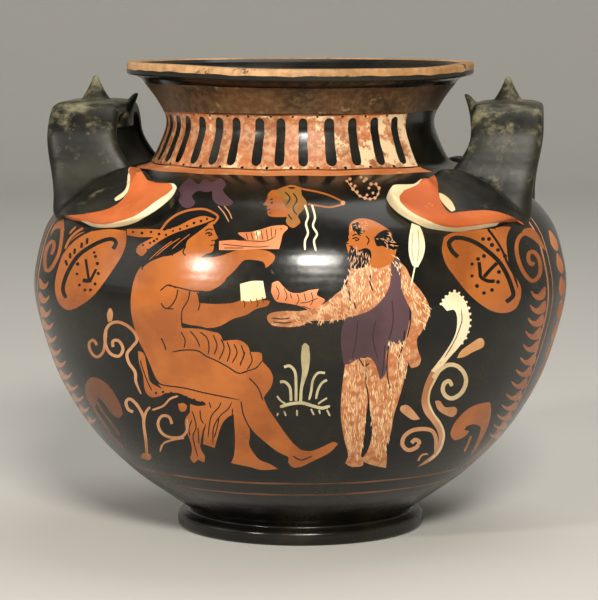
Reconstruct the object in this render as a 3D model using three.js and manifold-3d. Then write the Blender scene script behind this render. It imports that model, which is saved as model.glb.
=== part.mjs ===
// A squat, wide-mouthed storage jar of fired clay, thrown hollow, with two bridge-shaped strap handles.
// Millimetres, +Z up. The jar stands on z = 0, its axis is the Z axis, the handles lie on +X and -X,
// and its painted front faces -Y.
import * as THREE from "three";
import { mergeVertices } from "three/addons/utils/BufferGeometryUtils.js";
import Module from "manifold-3d";

// Whole jar
const overallHeight = 300;
const wallThickness = 6;
const roundSegments = 56;

// Foot: a low disc with a rounded edge, hollowed underneath
const footRadius = 80;
const footRestRadius = 77.5;
const footHeight = 9;
const footEdgeRound = 2.5;
const footRecessRadius = 60;
const footRecessDepth = 5;
const grooveRadius = 70.5;
const grooveHeight = 11;
const floorHeight = 14;
const floorFlatRadius = 34;

// Body, from the groove above the foot up to the base of the neck
const bellyRadius = 171.5;
const bellyHeight = 155;
const shoulderTopRadius = 97.5;
const shoulderTopHeight = 235.5;
const bodySteps = 18;

// Neck and lip
const neckBaseRadius = 95.4;
const neckBaseHeight = 237.6;
const neckWaistRadius = 86;
const neckWaistHeight = 262;
const neckTopRadius = 101;
const neckTopHeight = 288;
const neckSteps = 7;
const lipRadius = 111.2;
const lipThickness = 8;
const lipEdgeRound = 1.7;
const lipFlatInnerRadius = 103.5;
const lipMouthRadius = 100.5;
const lipMouthDrop = 2.6;

// Handles: a strap that bridges from front to rear over each shoulder
const strapTop = 275.5;
const strapThickness = 11;
const strapHalfSpan = 48;
const strapInner = 111.5;
const strapOuter = 155.5;
const strapSquareness = 3.4;
const strapRingPoints = 14;
const strapStations = 21;
const rootBottom = 192;
const rootHalfSpan = 61;
const rootInner = 91;
const rootOuter = 150;
const rootThickness = 24;
const rootTuck = 9;

// The spur in the middle of each strap
const spurRadius = 133.2;
const spurTop = 291;
const spurBaseHalfWidth = 11.5;
const spurBaseHalfDepth = 13;
const spurHollow = 1.45;
const hornTipRadius = 1.9;
const spurRings = 6;
const spurPoints = 12;

// The small cusp that points from each strap towards the neck
const cuspRadius = 106.2;
const cuspTop = 280;
const cuspBaseHalfWidth = 6.5;
const cuspBaseHalfDepth = 20;
const cuspHollow = 1.1;

// The flange that spreads over the shoulder in front of and behind each strap
const flangeTipAngle = 61.4;
const flangeEndAngle = 20.3;
const flangeEdgeRadius = 159;
const flangeRise = 7.5;
const flangeDip = 5.2;
const flangeFoldAngle = 49.5;
const flangeFoldRise = 4.5;
const flangeFoldAt = 3 / 7;
const flangeFoldHalfWidth = 0.055;
const flangeSunk = 3;
const flangeSteps = 14;
const flangeRows = 6;

const wasm = await Module();
wasm.setup();

// A three.js geometry as a manifold-3d solid.
function solidFrom(geometry) {
  geometry.deleteAttribute("normal");
  geometry.deleteAttribute("uv");
  const merged = mergeVertices(geometry, 1e-4);
  return new wasm.Manifold(
    new wasm.Mesh({
      numProp: 3,
      vertProperties: new Float32Array(merged.attributes.position.array),
      triVerts: new Uint32Array(merged.index.array),
    }),
  );
}

// A solid turned about Z from radius and height pairs that start and end on the axis, going up.
function turned(profile) {
  const points = profile.map(([radius, height]) => new THREE.Vector2(radius, height));
  const geometry = new THREE.LatheGeometry(points, roundSegments);
  geometry.rotateX(Math.PI / 2);
  return solidFrom(geometry);
}

// Evenly spaced points on a smooth curve through the given pairs.
function smooth(pairs, steps) {
  const curve = new THREE.SplineCurve(pairs.map(([a, b]) => new THREE.Vector2(a, b)));
  return curve.getSpacedPoints(steps).map((point) => [point.x, point.y]);
}

// The profile moved towards the axis side by a distance, square to its own direction.
function inset(profile, distance) {
  return profile.map((point, index) => {
    const before = profile[Math.max(index - 1, 0)];
    const after = profile[Math.min(index + 1, profile.length - 1)];
    const along = new THREE.Vector2(after[0] - before[0], after[1] - before[1]).normalize();
    return [point[0] - along.y * distance, point[1] + along.x * distance];
  });
}

// Every other point, and the last one.
function coarser(profile) {
  return profile.filter((point, index) => index % 2 === 0 || index === profile.length - 1);
}

// A closed solid over rings of points, every ring with the same count, with a flat cap at each end.
function lofted(rings) {
  const count = rings[0].length;
  const positions = rings.flat(2);
  const last = (rings.length - 1) * count;
  const faces = [];
  for (let ring = 0; ring < rings.length - 1; ring += 1) {
    for (let k = 0; k < count; k += 1) {
      const a = ring * count + k;
      const b = ring * count + ((k + 1) % count);
      faces.push(a, b, a + count);
      faces.push(b, b + count, a + count);
    }
  }
  for (let k = 1; k < count - 1; k += 1) {
    faces.push(0, k + 1, k);
    faces.push(last, last + k, last + k + 1);
  }
  const geometry = new THREE.BufferGeometry();
  geometry.setAttribute("position", new THREE.Float32BufferAttribute(positions, 3));
  geometry.setIndex(faces);
  return solidFrom(geometry);
}

const mix = THREE.MathUtils.lerp;
const smoothstep = THREE.MathUtils.smoothstep;

// Outer profile of the body, and of the neck up to the lip
const bodyProfile = smooth(
  [
    [grooveRadius, grooveHeight],
    [89.2, 24],
    [110.6, 40],
    [134.9, 65],
    [153.8, 95],
    [165, 125],
    [bellyRadius, bellyHeight],
    [168.4, 180],
    [160.7, 200],
    [143.4, 217.5],
    [120, 229.3],
    [shoulderTopRadius, shoulderTopHeight],
  ],
  bodySteps,
);
const neckProfile = smooth(
  [
    [neckBaseRadius, neckBaseHeight],
    [90.4, 247.8],
    [neckWaistRadius, neckWaistHeight],
    [91, 274.4],
    [neckTopRadius, neckTopHeight],
  ],
  neckSteps,
);

// Height of the body's outer surface at a distance from the axis, on the shoulder.
function shoulderHeight(radius) {
  for (let index = bodyProfile.length - 1; index > 0; index -= 1) {
    const [innerRadius, upper] = bodyProfile[index];
    const [outerRadius, lower] = bodyProfile[index - 1];
    if (outerRadius < innerRadius) break;
    if (radius <= outerRadius) {
      return mix(upper, lower, (radius - innerRadius) / (outerRadius - innerRadius));
    }
  }
  return bellyHeight;
}

const lipBottom = overallHeight - lipThickness;
const outerSolid = turned([
  [0, 0],
  [footRestRadius, 0],
  [footRadius, footEdgeRound],
  [footRadius, footHeight - footEdgeRound],
  [footRadius - footEdgeRound, footHeight],
  ...bodyProfile,
  ...neckProfile,
  [neckTopRadius + lipEdgeRound, lipBottom - lipEdgeRound],
  [lipRadius - lipEdgeRound, lipBottom],
  [lipRadius, lipBottom + lipEdgeRound],
  [lipRadius, overallHeight - lipEdgeRound],
  [lipRadius - lipEdgeRound, overallHeight],
  [lipFlatInnerRadius, overallHeight],
  [0, overallHeight],
]);

// The hollow follows the outer profile at the wall's thickness, down to a shallow bowl-shaped floor.
const hollowSkip = 1;
const cavity = turned([
  [0, floorHeight],
  [floorFlatRadius, floorHeight + 0.6],
  ...coarser(inset(bodyProfile, wallThickness).slice(hollowSkip)),
  ...coarser(inset(neckProfile, wallThickness)),
  [lipMouthRadius - 1.5, overallHeight - lipMouthDrop - 3],
  [lipMouthRadius, overallHeight - lipMouthDrop],
  [lipFlatInnerRadius, overallHeight],
  [lipFlatInnerRadius, overallHeight + 5],
  [0, overallHeight + 5],
]);
const footRecess = turned([
  [0, -5],
  [footRecessRadius, -5],
  [footRecessRadius, 0],
  [footRecessRadius - 2, footRecessDepth - 1],
  [footRecessRadius - 6, footRecessDepth],
  [0, footRecessDepth],
]);

// The strap's middle line in the plane that runs from front (+) to rear (-), as span and height pairs.
const strapMiddle = strapTop - strapThickness / 2;
const halfArch = [
  [rootHalfSpan, rootBottom],
  [strapHalfSpan + 9, rootBottom + 23],
  [strapHalfSpan + 6, strapMiddle - 37],
  [strapHalfSpan + 3.5, strapMiddle - 24],
  [strapHalfSpan, strapMiddle - 13],
  [strapHalfSpan - 8.5, strapMiddle - 3.8],
  [strapHalfSpan - 20, strapMiddle - 0.4],
];
const archLine = new THREE.SplineCurve(
  [...halfArch, [0, strapMiddle], ...halfArch.map(([span, height]) => [-span, height]).reverse()].map(
    ([span, height]) => new THREE.Vector2(span, height),
  ),
);

// One section across the strap: a rounded oblong, wider and thicker towards the root.
function strapRing(along) {
  const middle = archLine.getPointAt(along);
  const direction = archLine.getTangentAt(along);
  const spread = 1 - smoothstep(middle.y, rootBottom + 22, strapMiddle - 14);
  const flare = 1 - smoothstep(middle.y, rootBottom + 14, strapMiddle - 34);
  const inner = mix(strapInner, rootInner, spread);
  const outer = mix(strapOuter, rootOuter, spread) - rootTuck * (1 - smoothstep(middle.y, rootBottom, 207));
  const halfWidth = (outer - inner) / 2;
  const halfThickness = mix(strapThickness, rootThickness, flare) / 2;
  const ring = [];
  for (let k = 0; k < strapRingPoints; k += 1) {
    const angle = (2 * Math.PI * (k + 0.5)) / strapRingPoints;
    const across = Math.sign(Math.cos(angle)) * Math.abs(Math.cos(angle)) ** (2 / strapSquareness);
    const through = Math.sign(Math.sin(angle)) * Math.abs(Math.sin(angle)) ** (2 / strapSquareness);
    ring.push([
      (inner + outer) / 2 + across * halfWidth,
      -(middle.x + through * halfThickness * direction.y),
      middle.y - through * halfThickness * direction.x,
    ]);
  }
  return ring;
}
const strapRings = [];
for (let station = 0; station < strapStations; station += 1) {
  strapRings.push(strapRing(station / (strapStations - 1)));
}
const strap = lofted(strapRings.reverse());

// A horn with hollow flanks, from a wide base ring to a small tip; the base may be shifted from the tip.
function horn(base, tip, halfWidth, halfDepth, hollow) {
  const rings = [];
  for (let step = -1; step < spurRings; step += 1) {
    const rise = step / (spurRings - 1);
    const slim = step < 0 ? 0.4 : (1 - rise) ** hollow;
    const rounding = step === spurRings - 1 ? 0.5 : 1;
    const ring = [];
    for (let k = 0; k < spurPoints; k += 1) {
      const angle = (2 * Math.PI * k) / spurPoints;
      ring.push([
        mix(base[0], tip[0], rise) + mix(hornTipRadius, halfWidth, slim) * rounding * Math.cos(angle),
        mix(hornTipRadius, halfDepth, slim) * rounding * Math.sin(angle),
        mix(base[1], tip[1], rise),
      ]);
    }
    rings.push(ring);
  }
  return lofted(rings);
}
const spur = horn(
  [spurRadius, strapTop - 3],
  [spurRadius, spurTop],
  spurBaseHalfWidth,
  spurBaseHalfDepth,
  spurHollow,
);
const cusp = horn(
  [strapInner + 4.5, strapTop - 7],
  [cuspRadius, cuspTop],
  cuspBaseHalfWidth,
  cuspBaseHalfDepth,
  cuspHollow,
);

// The flange in front of a strap, as angle from the handle and distance from the axis:
// its root side runs round the foot of the strap, its lip side sweeps down over the shoulder.
const flangeRoot = new THREE.SplineCurve(
  [
    [flangeTipAngle - 1, 133],
    [58, 131],
    [54.5, 130.5],
    [flangeFoldAngle + 1, 129],
    [44, 122],
    [33.5, 114],
    [26.5, 134],
    [flangeEndAngle, 154],
  ].map(([angle, radius]) => new THREE.Vector2(angle, radius)),
);
const flangeLip = new THREE.SplineCurve(
  [
    [flangeTipAngle, 137],
    [flangeTipAngle - 0.4, 146.5],
    [flangeTipAngle - 4.2, flangeEdgeRadius - 4],
    [flangeFoldAngle, flangeEdgeRadius - 0.1],
    [43, flangeEdgeRadius],
    [36.5, flangeEdgeRadius - 0.5],
    [28.5, flangeEdgeRadius - 1.4],
    [flangeEndAngle, flangeEdgeRadius - 0.6],
  ].map(([angle, radius]) => new THREE.Vector2(angle, radius)),
);

// How far the flange's upper side stands off the shoulder: a shallow bowl with a raised lip, and a fold
// that rises to a point beside the strap and dies away towards the lip.
function flangeHeight(along, across) {
  const ends = smoothstep(along, -0.04, 0.1) * (1 - 0.8 * smoothstep(along, 0.75, 1));
  const bowl = mix(flangeRise, flangeDip, Math.sin(Math.PI * Math.min(1, across / 0.94)));
  const edge = across > 0.99 ? 0.72 : mix(0.5, 1, smoothstep(across, 0, 0.15));
  const fold = Math.exp(-(((along - flangeFoldAt) / flangeFoldHalfWidth) ** 2));
  return ends * edge * bowl + flangeFoldRise * fold * (1 - smoothstep(across, 0.05, 0.75)) + 0.6;
}

// A point of the flange, at its upper side or sunk into the wall.
function flangePoint(along, across, upper) {
  const root = flangeRoot.getPoint(along);
  const lip = flangeLip.getPoint(along);
  const angle = THREE.MathUtils.degToRad(mix(root.x, lip.x, across));
  const radius = mix(root.y, lip.y, across);
  const slope = (shoulderHeight(radius - 1) - shoulderHeight(radius + 1)) / 2;
  const offset = upper ? flangeHeight(along, across) : -flangeSunk;
  const outward = (offset * slope) / Math.hypot(1, slope);
  const upward = offset / Math.hypot(1, slope);
  return [
    (radius + outward) * Math.cos(angle),
    -(radius + outward) * Math.sin(angle),
    shoulderHeight(radius) + upward,
  ];
}
const flangeRings = [];
for (let step = 0; step <= flangeSteps; step += 1) {
  const along = step / flangeSteps;
  const ring = [];
  for (let row = 0; row <= flangeRows; row += 1) {
    ring.push(flangePoint(along, row / flangeRows, true));
  }
  for (let row = flangeRows; row >= 0; row -= 2) {
    ring.push(flangePoint(along, row / flangeRows, false));
  }
  flangeRings.push(ring);
}
const frontFlange = lofted(flangeRings);

const rightHandle = strap.add(spur).add(cusp).add(frontFlange).add(frontFlange.mirror([0, 1, 0]));
const jar = outerSolid
  .add(rightHandle)
  .add(rightHandle.mirror([1, 0, 0]))
  .subtract(cavity)
  .subtract(footRecess);

// A solid as a named mesh with its own finish.
function meshOf(solid, name, color, roughness) {
  const { vertProperties, triVerts, numProp } = solid.getMesh();
  const positions = new Float32Array((vertProperties.length / numProp) * 3);
  for (let index = 0; index < positions.length / 3; index += 1) {
    positions.set(vertProperties.subarray(index * numProp, index * numProp + 3), index * 3);
  }
  const geometry = new THREE.BufferGeometry();
  geometry.setAttribute("position", new THREE.BufferAttribute(positions, 3));
  geometry.setIndex(new THREE.BufferAttribute(triVerts, 1));
  geometry.computeVertexNormals();
  const material = new THREE.MeshStandardMaterial({ color, roughness, metalness: 0 });
  const mesh = new THREE.Mesh(geometry, material);
  mesh.name = name;
  return mesh;
}

const group = new THREE.Group();
group.add(meshOf(jar, "stamnos", 0x1b1813, 0.28));

export default group;
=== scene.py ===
# A red-figured storage jar with two bridge-shaped handles, and a studio to show it in.
# The jar is worked out in millimetres and turned into metres as each mesh is made.
import math
import random

import bpy
import numpy as np
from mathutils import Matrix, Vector
from mathutils.geometry import delaunay_2d_cdt
from mathutils.kdtree import KDTree


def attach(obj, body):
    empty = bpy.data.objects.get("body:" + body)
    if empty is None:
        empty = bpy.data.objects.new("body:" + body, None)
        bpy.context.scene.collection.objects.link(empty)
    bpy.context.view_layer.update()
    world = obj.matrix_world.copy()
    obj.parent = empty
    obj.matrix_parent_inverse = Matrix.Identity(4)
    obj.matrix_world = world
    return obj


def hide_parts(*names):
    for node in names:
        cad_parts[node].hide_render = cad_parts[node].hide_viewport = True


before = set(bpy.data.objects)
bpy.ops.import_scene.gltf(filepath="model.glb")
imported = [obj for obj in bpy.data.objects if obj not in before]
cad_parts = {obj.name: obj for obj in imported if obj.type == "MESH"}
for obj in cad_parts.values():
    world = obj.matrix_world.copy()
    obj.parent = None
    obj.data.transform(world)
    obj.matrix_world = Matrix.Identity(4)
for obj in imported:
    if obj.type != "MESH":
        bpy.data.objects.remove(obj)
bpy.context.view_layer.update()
metre = 0.001
chance = random.Random(5)


def bendPoint(a, b, c, d, t):
    # a point between b and c on a smooth curve through all four
    return tuple(
        0.5 * (2 * q + (r - p) * t + (2 * p - 5 * q + 4 * r - s) * t * t + (3 * q - p - 3 * r + s) * t**3)
        for p, q, r, s in zip(a, b, c, d)
    )


def bend(a, b, c, d, spacing):
    # the curve from b towards c, sampled at about the given spacing
    count = max(1, round(math.dist(b, c) / spacing))
    return [bendPoint(a, b, c, d, k / count) for k in range(count)]


def smoothThrough(points, spacing):
    # an open smooth curve through points
    result = []
    last = len(points) - 1
    for i in range(last):
        result += bend(points[max(i - 1, 0)], points[i], points[i + 1], points[min(i + 2, last)], spacing)
    result.append(tuple(points[-1]))
    return result


def splineAt(points, t):
    # a place on a smooth curve through points, its spans of equal share
    last = len(points) - 1
    i = min(int(t * last), last - 1)
    return bendPoint(points[max(i - 1, 0)], points[i], points[i + 1], points[min(i + 2, last)], t * last - i)


def smoothstep(value, low, high):
    t = min(1.0, max(0.0, (value - low) / (high - low)))
    return t * t * (3 - 2 * t)


def mix(a, b, t):
    return a + (b - a) * t


def around(count, start=0.0):
    # evenly spaced turns of a full circle
    return [2 * math.pi * (k + start) / count for k in range(count)]


# the turned profile, as distance from the axis and height
jar = {
    "height": 300,
    "wall": 6,
    "footRadius": 80,
    "footRest": 77.5,
    "footHeight": 9,
    "footRound": 2.5,
    "groove": [(74, 9.1), (71.5, 9.6)],
    "recess": [(77.5, 0), (60, 0), (58, 4), (54, 5), (0, 5)],
    "body": [
        (70.5, 11), (89.2, 24), (110.6, 40), (134.9, 65), (153.8, 95), (165, 125), (171.5, 155),
        (168.4, 180), (160.7, 200), (143.4, 217.5), (120, 229.3), (97.5, 235.5),
    ],
    "neck": [(95.4, 237.6), (90.4, 247.8), (86, 262), (91, 274.4), (101, 288)],
    "underLip": [(102.7, 290.3), (105.5, 291.4)],
    "lipRadius": 111.2,
    "lipBottom": 292,
    "lipRound": 1.7,
    "lipTop": [(106.5, 300), (103.5, 300), (102.6, 299.3)],
    "mouth": 100.5,
    "mouthDrop": 2.6,
    "mouthLip": 3,
    "sag": 2.1,
    "sagAngles": (-48, 0, 45, 95),
    "sagHeights": (283, 292),
    "floorEdge": (34, 14.6),
    "floorMiddle": (0, 14),
}


def corner(center, radius, start, end, steps=5):
    # a rounded edge: points on an arc, angles in degrees
    for k in range(steps + 1):
        angle = math.radians(mix(start, end, k / steps))
        yield (center[0] + radius * math.cos(angle), center[1] + radius * math.sin(angle))


bodyLine = smoothThrough(jar["body"], 2)
neckLine = smoothThrough(jar["neck"], 2)


def outerProfile():
    edge = jar["footRound"]
    foot = [(jar["footRest"], 0.0)]
    foot += corner((jar["footRadius"] - edge, edge), edge, -60, 0)
    foot += corner((jar["footRadius"] - edge, jar["footHeight"] - edge), edge, 0, 90)
    edge, lip = jar["lipRound"], jar["lipRadius"]
    rim = list(jar["underLip"])
    rim += corner((lip - edge, jar["lipBottom"] + edge), edge, -90, 0)
    rim += corner((lip - edge, jar["height"] - edge), edge, 0, 90)
    rim += jar["lipTop"] + [(jar["mouth"], jar["height"] - jar["mouthDrop"])]
    return foot + jar["groove"] + bodyLine + neckLine + rim


def inset(line, distance):
    # the line moved towards the axis side, square to its own direction
    result = []
    for i, point in enumerate(line):
        before, after = line[max(i - 1, 0)], line[min(i + 1, len(line) - 1)]
        length = math.dist(before, after)
        step = ((after[0] - before[0]) / length, (after[1] - before[1]) / length)
        result.append((point[0] - step[1] * distance, point[1] + step[0] * distance))
    return result


outline = outerProfile()
along = np.concatenate([[0], np.cumsum([math.dist(a, b) for a, b in zip(outline, outline[1:])])])
outlineRadius = np.array([p[0] for p in outline])
outlineHeight = np.array([p[1] for p in outline])
slopeRadius = np.gradient(outlineRadius, along)
slopeHeight = np.gradient(outlineHeight, along)
# heights grow steadily from the groove to the underside of the lip
growing = (outlineHeight > 10) & (along < along[-1] - 14)
growRadius, growHeight, growAlong = outlineRadius[growing], outlineHeight[growing], along[growing]


def placeOnJar(angle, reach):
    # angle in degrees from the painted front, reach along the outline
    radius = np.interp(reach, along, outlineRadius)
    height = np.interp(reach, along, outlineHeight)
    turn = np.radians(angle)
    return np.stack([radius * np.sin(turn), -radius * np.cos(turn), height], axis=-1)


def normalOnJar(angle, reach):
    # the outward direction there, straight from the profile
    turn = np.radians(angle)
    outward = np.interp(reach, along, slopeHeight)
    upward = -np.interp(reach, along, slopeRadius)
    normal = np.stack([outward * np.sin(turn), -outward * np.cos(turn), upward], axis=-1)
    return normal / np.hypot(outward, upward)[:, None]


def reachOf(height):
    return float(np.interp(height, growHeight, growAlong))


def girthAt(height):
    return np.interp(height, growHeight, growRadius)


# the camera, set where the photograph was taken from
view = {
    "width": 598,
    "focal": 2638.42,
    "centerX": 300.3,
    "centerY": 300,
    "distance": 1700,
    "eyeHeight": 338.93,
    "tilt": 0.113089,
    "turn": 6,
}
# how sight lines are followed to the jar, between two distances from the eye
sight = {"near": 1450, "far": 1850, "steps": 1201, "batch": 2000, "tries": 12, "squeeze": 0.006}
eyeTurn = math.radians(view["turn"])
eyePlace = (view["distance"] * math.sin(eyeTurn), -view["distance"] * math.cos(eyeTurn), view["eyeHeight"])


def rayHits(pixels):
    # where sight lines through photo points meet the jar: angle from its front, and reach along its outline
    points = np.array(pixels, float)
    tilt = view["tilt"]
    ahead = np.array([0, -math.cos(tilt), -math.sin(tilt)])
    upward = np.array([0, -math.sin(tilt), math.cos(tilt)])
    side = np.array([1.0, 0, 0])
    eye = np.array([0, view["distance"], view["eyeHeight"]])
    steps = np.linspace(sight["near"], sight["far"], sight["steps"])
    angle, reach = np.zeros(len(points)), np.zeros(len(points))
    waiting = np.arange(len(points))
    for attempt in range(sight["tries"]):
        # a point that misses the jar is drawn in towards its middle and tried again
        x = (points[waiting, 0] - view["centerX"]) * (1 - sight["squeeze"] * attempt)
        lines = ahead + (x / view["focal"])[:, None] * side
        lines = lines + ((view["centerY"] - points[waiting, 1]) / view["focal"])[:, None] * upward
        found = np.zeros(len(waiting), bool)
        for begin in range(0, len(waiting), sight["batch"]):
            part = slice(begin, begin + sight["batch"])
            spots = eye + steps[None, :, None] * lines[part, None, :]
            distance = np.hypot(spots[..., 0], spots[..., 1])
            surface = np.interp(spots[..., 2], growHeight, growRadius, left=0, right=0)
            within = distance < surface
            first = np.argmax(within, axis=1)
            rows = np.arange(len(first))
            ok = within[rows, first]
            index = waiting[part]
            # between the last step outside and the first one inside
            before = np.maximum(first - 1, 0)
            gapOut = (distance - surface)[rows, before]
            gapIn = (surface - distance)[rows, first]
            share = gapOut / np.maximum(gapOut + gapIn, 1e-9)
            spot = mix(spots[rows, before], spots[rows, first], share[:, None])
            angle[index[ok]] = np.degrees(np.arctan2(spot[ok, 0], spot[ok, 1])) + view["turn"]
            reach[index[ok]] = np.interp(spot[ok, 2], growHeight, growAlong)
            found[part] = ok
        waiting = waiting[~found]
        if len(waiting) == 0:
            break
    return angle, reach


# the pictures: paints and closed outlines, in painter's order, drawn in the photograph's pixel frame
shapes = []
brushwork = {"spacing": 1.3, "rise": 6, "dotSides": 8, "dotSizes": (0.85, 0.3)}
rungRim = [(-1, -0.45), (-0.1, 0.05), (1, -1), (1, 0.4), (0.2, 0.85), (-0.6, 0.45)]


def pointsOf(text):
    # "x,y x,y! ..." where ! marks a corner
    words = text.split()
    points = [tuple(float(v) for v in word.rstrip("!").split(",")) for word in words]
    return points, [word.endswith("!") for word in words]


def curve(points, corners, closed=True):
    total = len(points)
    result = []
    for i in range(total if closed else total - 1):
        b, c = points[i], points[(i + 1) % total]
        a = b if corners[i] or (not closed and i == 0) else points[i - 1]
        d = c if corners[(i + 1) % total] or (not closed and i == total - 2) else points[(i + 2) % total]
        result += bend(a, b, c, d, brushwork["spacing"])
    if not closed:
        result.append(points[-1])
    return result


def fill(paint, text):
    shapes.append((paint, curve(*pointsOf(text))))


def ribbon(middle, halfWidths):
    # the closed outline of a line with a width at each of its points
    left, right = [], []
    for i, (x, y) in enumerate(middle):
        ax, ay = middle[max(i - 1, 0)]
        bx, by = middle[min(i + 1, len(middle) - 1)]
        length = math.hypot(bx - ax, by - ay) or 1
        nx, ny = -(by - ay) / length * halfWidths[i], (bx - ax) / length * halfWidths[i]
        left.append((x + nx, y + ny))
        right.append((x - nx, y - ny))
    return left + right[::-1]


def brush(paint, width, text, taper=(0.5, 0.3)):
    # brush lines, with a / between them, each thinner towards its ends
    for line in text.split("/"):
        middle = curve(*pointsOf(line), closed=False)
        halfWidths = []
        for i in range(len(middle)):
            done = i / (len(middle) - 1)
            rise = brushwork["rise"]
            swell = min(1, taper[0] + done * rise, taper[1] + (1 - done) * rise)
            halfWidths.append(width / 2 * swell)
        shapes.append((paint, ribbon(middle, halfWidths)))


def dots(paint, radius, text):
    least, more = brushwork["dotSizes"]
    for x, y in pointsOf(text)[0]:
        r = radius * (least + more * chance.random())
        turns = around(brushwork["dotSides"])
        shapes.append((paint, [(x + r * math.cos(turn), y + r * math.sin(turn)) for turn in turns]))


def inside(point, outline):
    x, y = point
    odd = False
    for (ax, ay), (bx, by) in zip(outline, outline[1:] + outline[:1]):
        if (ay > y) != (by > y) and x < ax + (y - ay) / (by - ay) * (bx - ax):
            odd = not odd
    return odd


def tufts(paint, width, length, count, text, lean=80, spread=35):
    # short hairs scattered over a region
    region = curve(*pointsOf(text))
    xs, ys = [p[0] for p in region], [p[1] for p in region]
    placed = 0
    while placed < count:
        x, y = chance.uniform(min(xs), max(xs)), chance.uniform(min(ys), max(ys))
        if not inside((x, y), region):
            continue
        angle = math.radians(lean + chance.uniform(-spread, spread))
        reach = length * chance.uniform(0.6, 1.3) / 2
        dx, dy = reach * math.cos(angle), reach * math.sin(angle)
        half = width * chance.uniform(0.6, 1.2) / 2
        nx, ny = -math.sin(angle) * half, math.cos(angle) * half
        shapes.append((paint, [(x - dx, y - dy), (x + nx, y + ny), (x + dx, y + dy), (x - nx, y - ny)]))
        placed += 1


def ladder(paint, text):
    # dished crescents that hang from the frame line: middle, half width and depth of each
    for middleX, middleY, half, deep in pointsOf(text)[0]:
        way = math.copysign(half, middleX - view["centerX"])
        rim = [(middleX + way * u, middleY + deep * v) for u, v in rungRim]
        shapes.append((paint, curve(rim, [False] * len(rim))))


def seatCloth():
    fill("clay", """
        138,351! 144,354 147,368 150,381 158,387 168,391! 160,396 151,397 145,390 143,375 139,362
    """)
    fill("clay", """
        158,384! 172,387 185,386 196,390 204,394 222,396 240,399! 225,402 203,402 190,398 178,393 166,393!
    """)
    fill("clay", """
        203,399! 237,399! 234,413 228,417 222,424 218,436 214.5,448! 209,446 203,444! 204,433 206,425
        208,412 206,405
    """)
    fill("clay", """
        190,404! 198,406 207,405! 209,413 207,421 203,430 201,440 200.5,448 205,456! 204,462 198,460
        194,463 190,458! 192,450 190,440 186,430 185,420 190,412!
    """)
    fill("clay", "178,404! 183,403 187,406 185,411 180,411")
    brush("gloss", 1.2, """
        221,402 219,407 212,415 209.5,424 208,438 / 232,402 228,409 221,415 215,424 213,432 213,445 /
        236,402 233,409 232,416 / 209,402 211,408 / 219,418 217,428 214,438 / 192,411 195,420 196,428
        193,436 195,447 198,457 / 192,420 189,428 190,436 / 200,410 201,419 204,424 / 198,428 199,444 /
        140,360 146,378 152,391
    """)
    dots("gloss", 1.3, "156,393 163,392 171,393 178,395 186,397 194,400 202,402")


def seatedBody():
    # rear shin, front leg, body, raised arm and lower arm
    fill("clay", """
        232,398! 234,420 235,440 234,455 231,463! 240,465 250,467 262,470 278,469! 270,464 260,460 253,452
        249,444 250,434 248,420 243,398!
    """)
    fill("clay", """
        240,398! 263,396! 268,408 276,420 285,433 293,443 301,450! 311,451 322,447 333,442 338,444!
        329,453 313,461 300,467 292,467 288,462! 288,457 278,452 265,442 253,431 246,420 241,410
    """)
    fill("clay", """
        172,249! 160,257 150,261 140,268 134,280 131,296 131,311 134,326 139,341 146,355 152,370 158,381
        166,386 190,391 214,397 238,400 262,400! 266,394 271,387 273,378 270,370 262,361! 261,353 250,352!
        247,345 238,340 223,341! 218,333 200,329 182,328! 182,312 199,303! 199,292 212,290 226,278 215,260
        197,256 196,246
    """)
    fill("clay", """
        165,262! 190,258 215,257 238,250 252,249 263,250 270,252 275,256 273,262 266,268! 263,262 254,260
        245,260 240,264 235,270 225,279 212,288 203,291 190,291 172,286
    """)
    fill("clay", """
        198,303! 215,304 232,303 241,300! 262,300 270,301! 267,306 256,309 246,315 233,319 220,326 208,328
        195,326 183,323! 181,312
    """)
    # inner lines
    brush("gloss", 1.25, """
        167,285 180,288 193,291 204,291 / 178,289 176,298 171,306 166,309 / 190,290 188,300 182,311
        182,325 / 197,292 200,302 198,311 / 161,303 165,308 174,309 / 176,288 168,285 160,291
    """)
    brush("gloss", 2.2, "181,325 188,326 198,327 210,330 224,333", (1, 0.2))
    brush("gloss", 1.35, """
        172,352 185,350 198,351 206,356 217,361 228,367 238,373 247,372 / 249,378 256,385 260,392 263,401
        / 241,401 243,413 247,423 252,431 / 161,338 164,344 166,350 / 144,352 150,366 156,380 163,385
        184,388 205,393 240,400 / 293,456 301,460 312,456
    """)
    brush("gloss", 1.25, """
        190,331 196,338 200,347 / 200,332 207,338 209,347 208,355 / 213,335 217,345 214,355 / 221,339
        224,348 219,360 / 227,342 230,351 227,362 / 234,344 237,353 232,363 / 241,345 244,355 240,364 /
        250,352 252,361 247,370 / 262,361 256,368 247,371 239,374 / 181,332 185,340 184,348 / 245,352
        240,366
    """)


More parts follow.
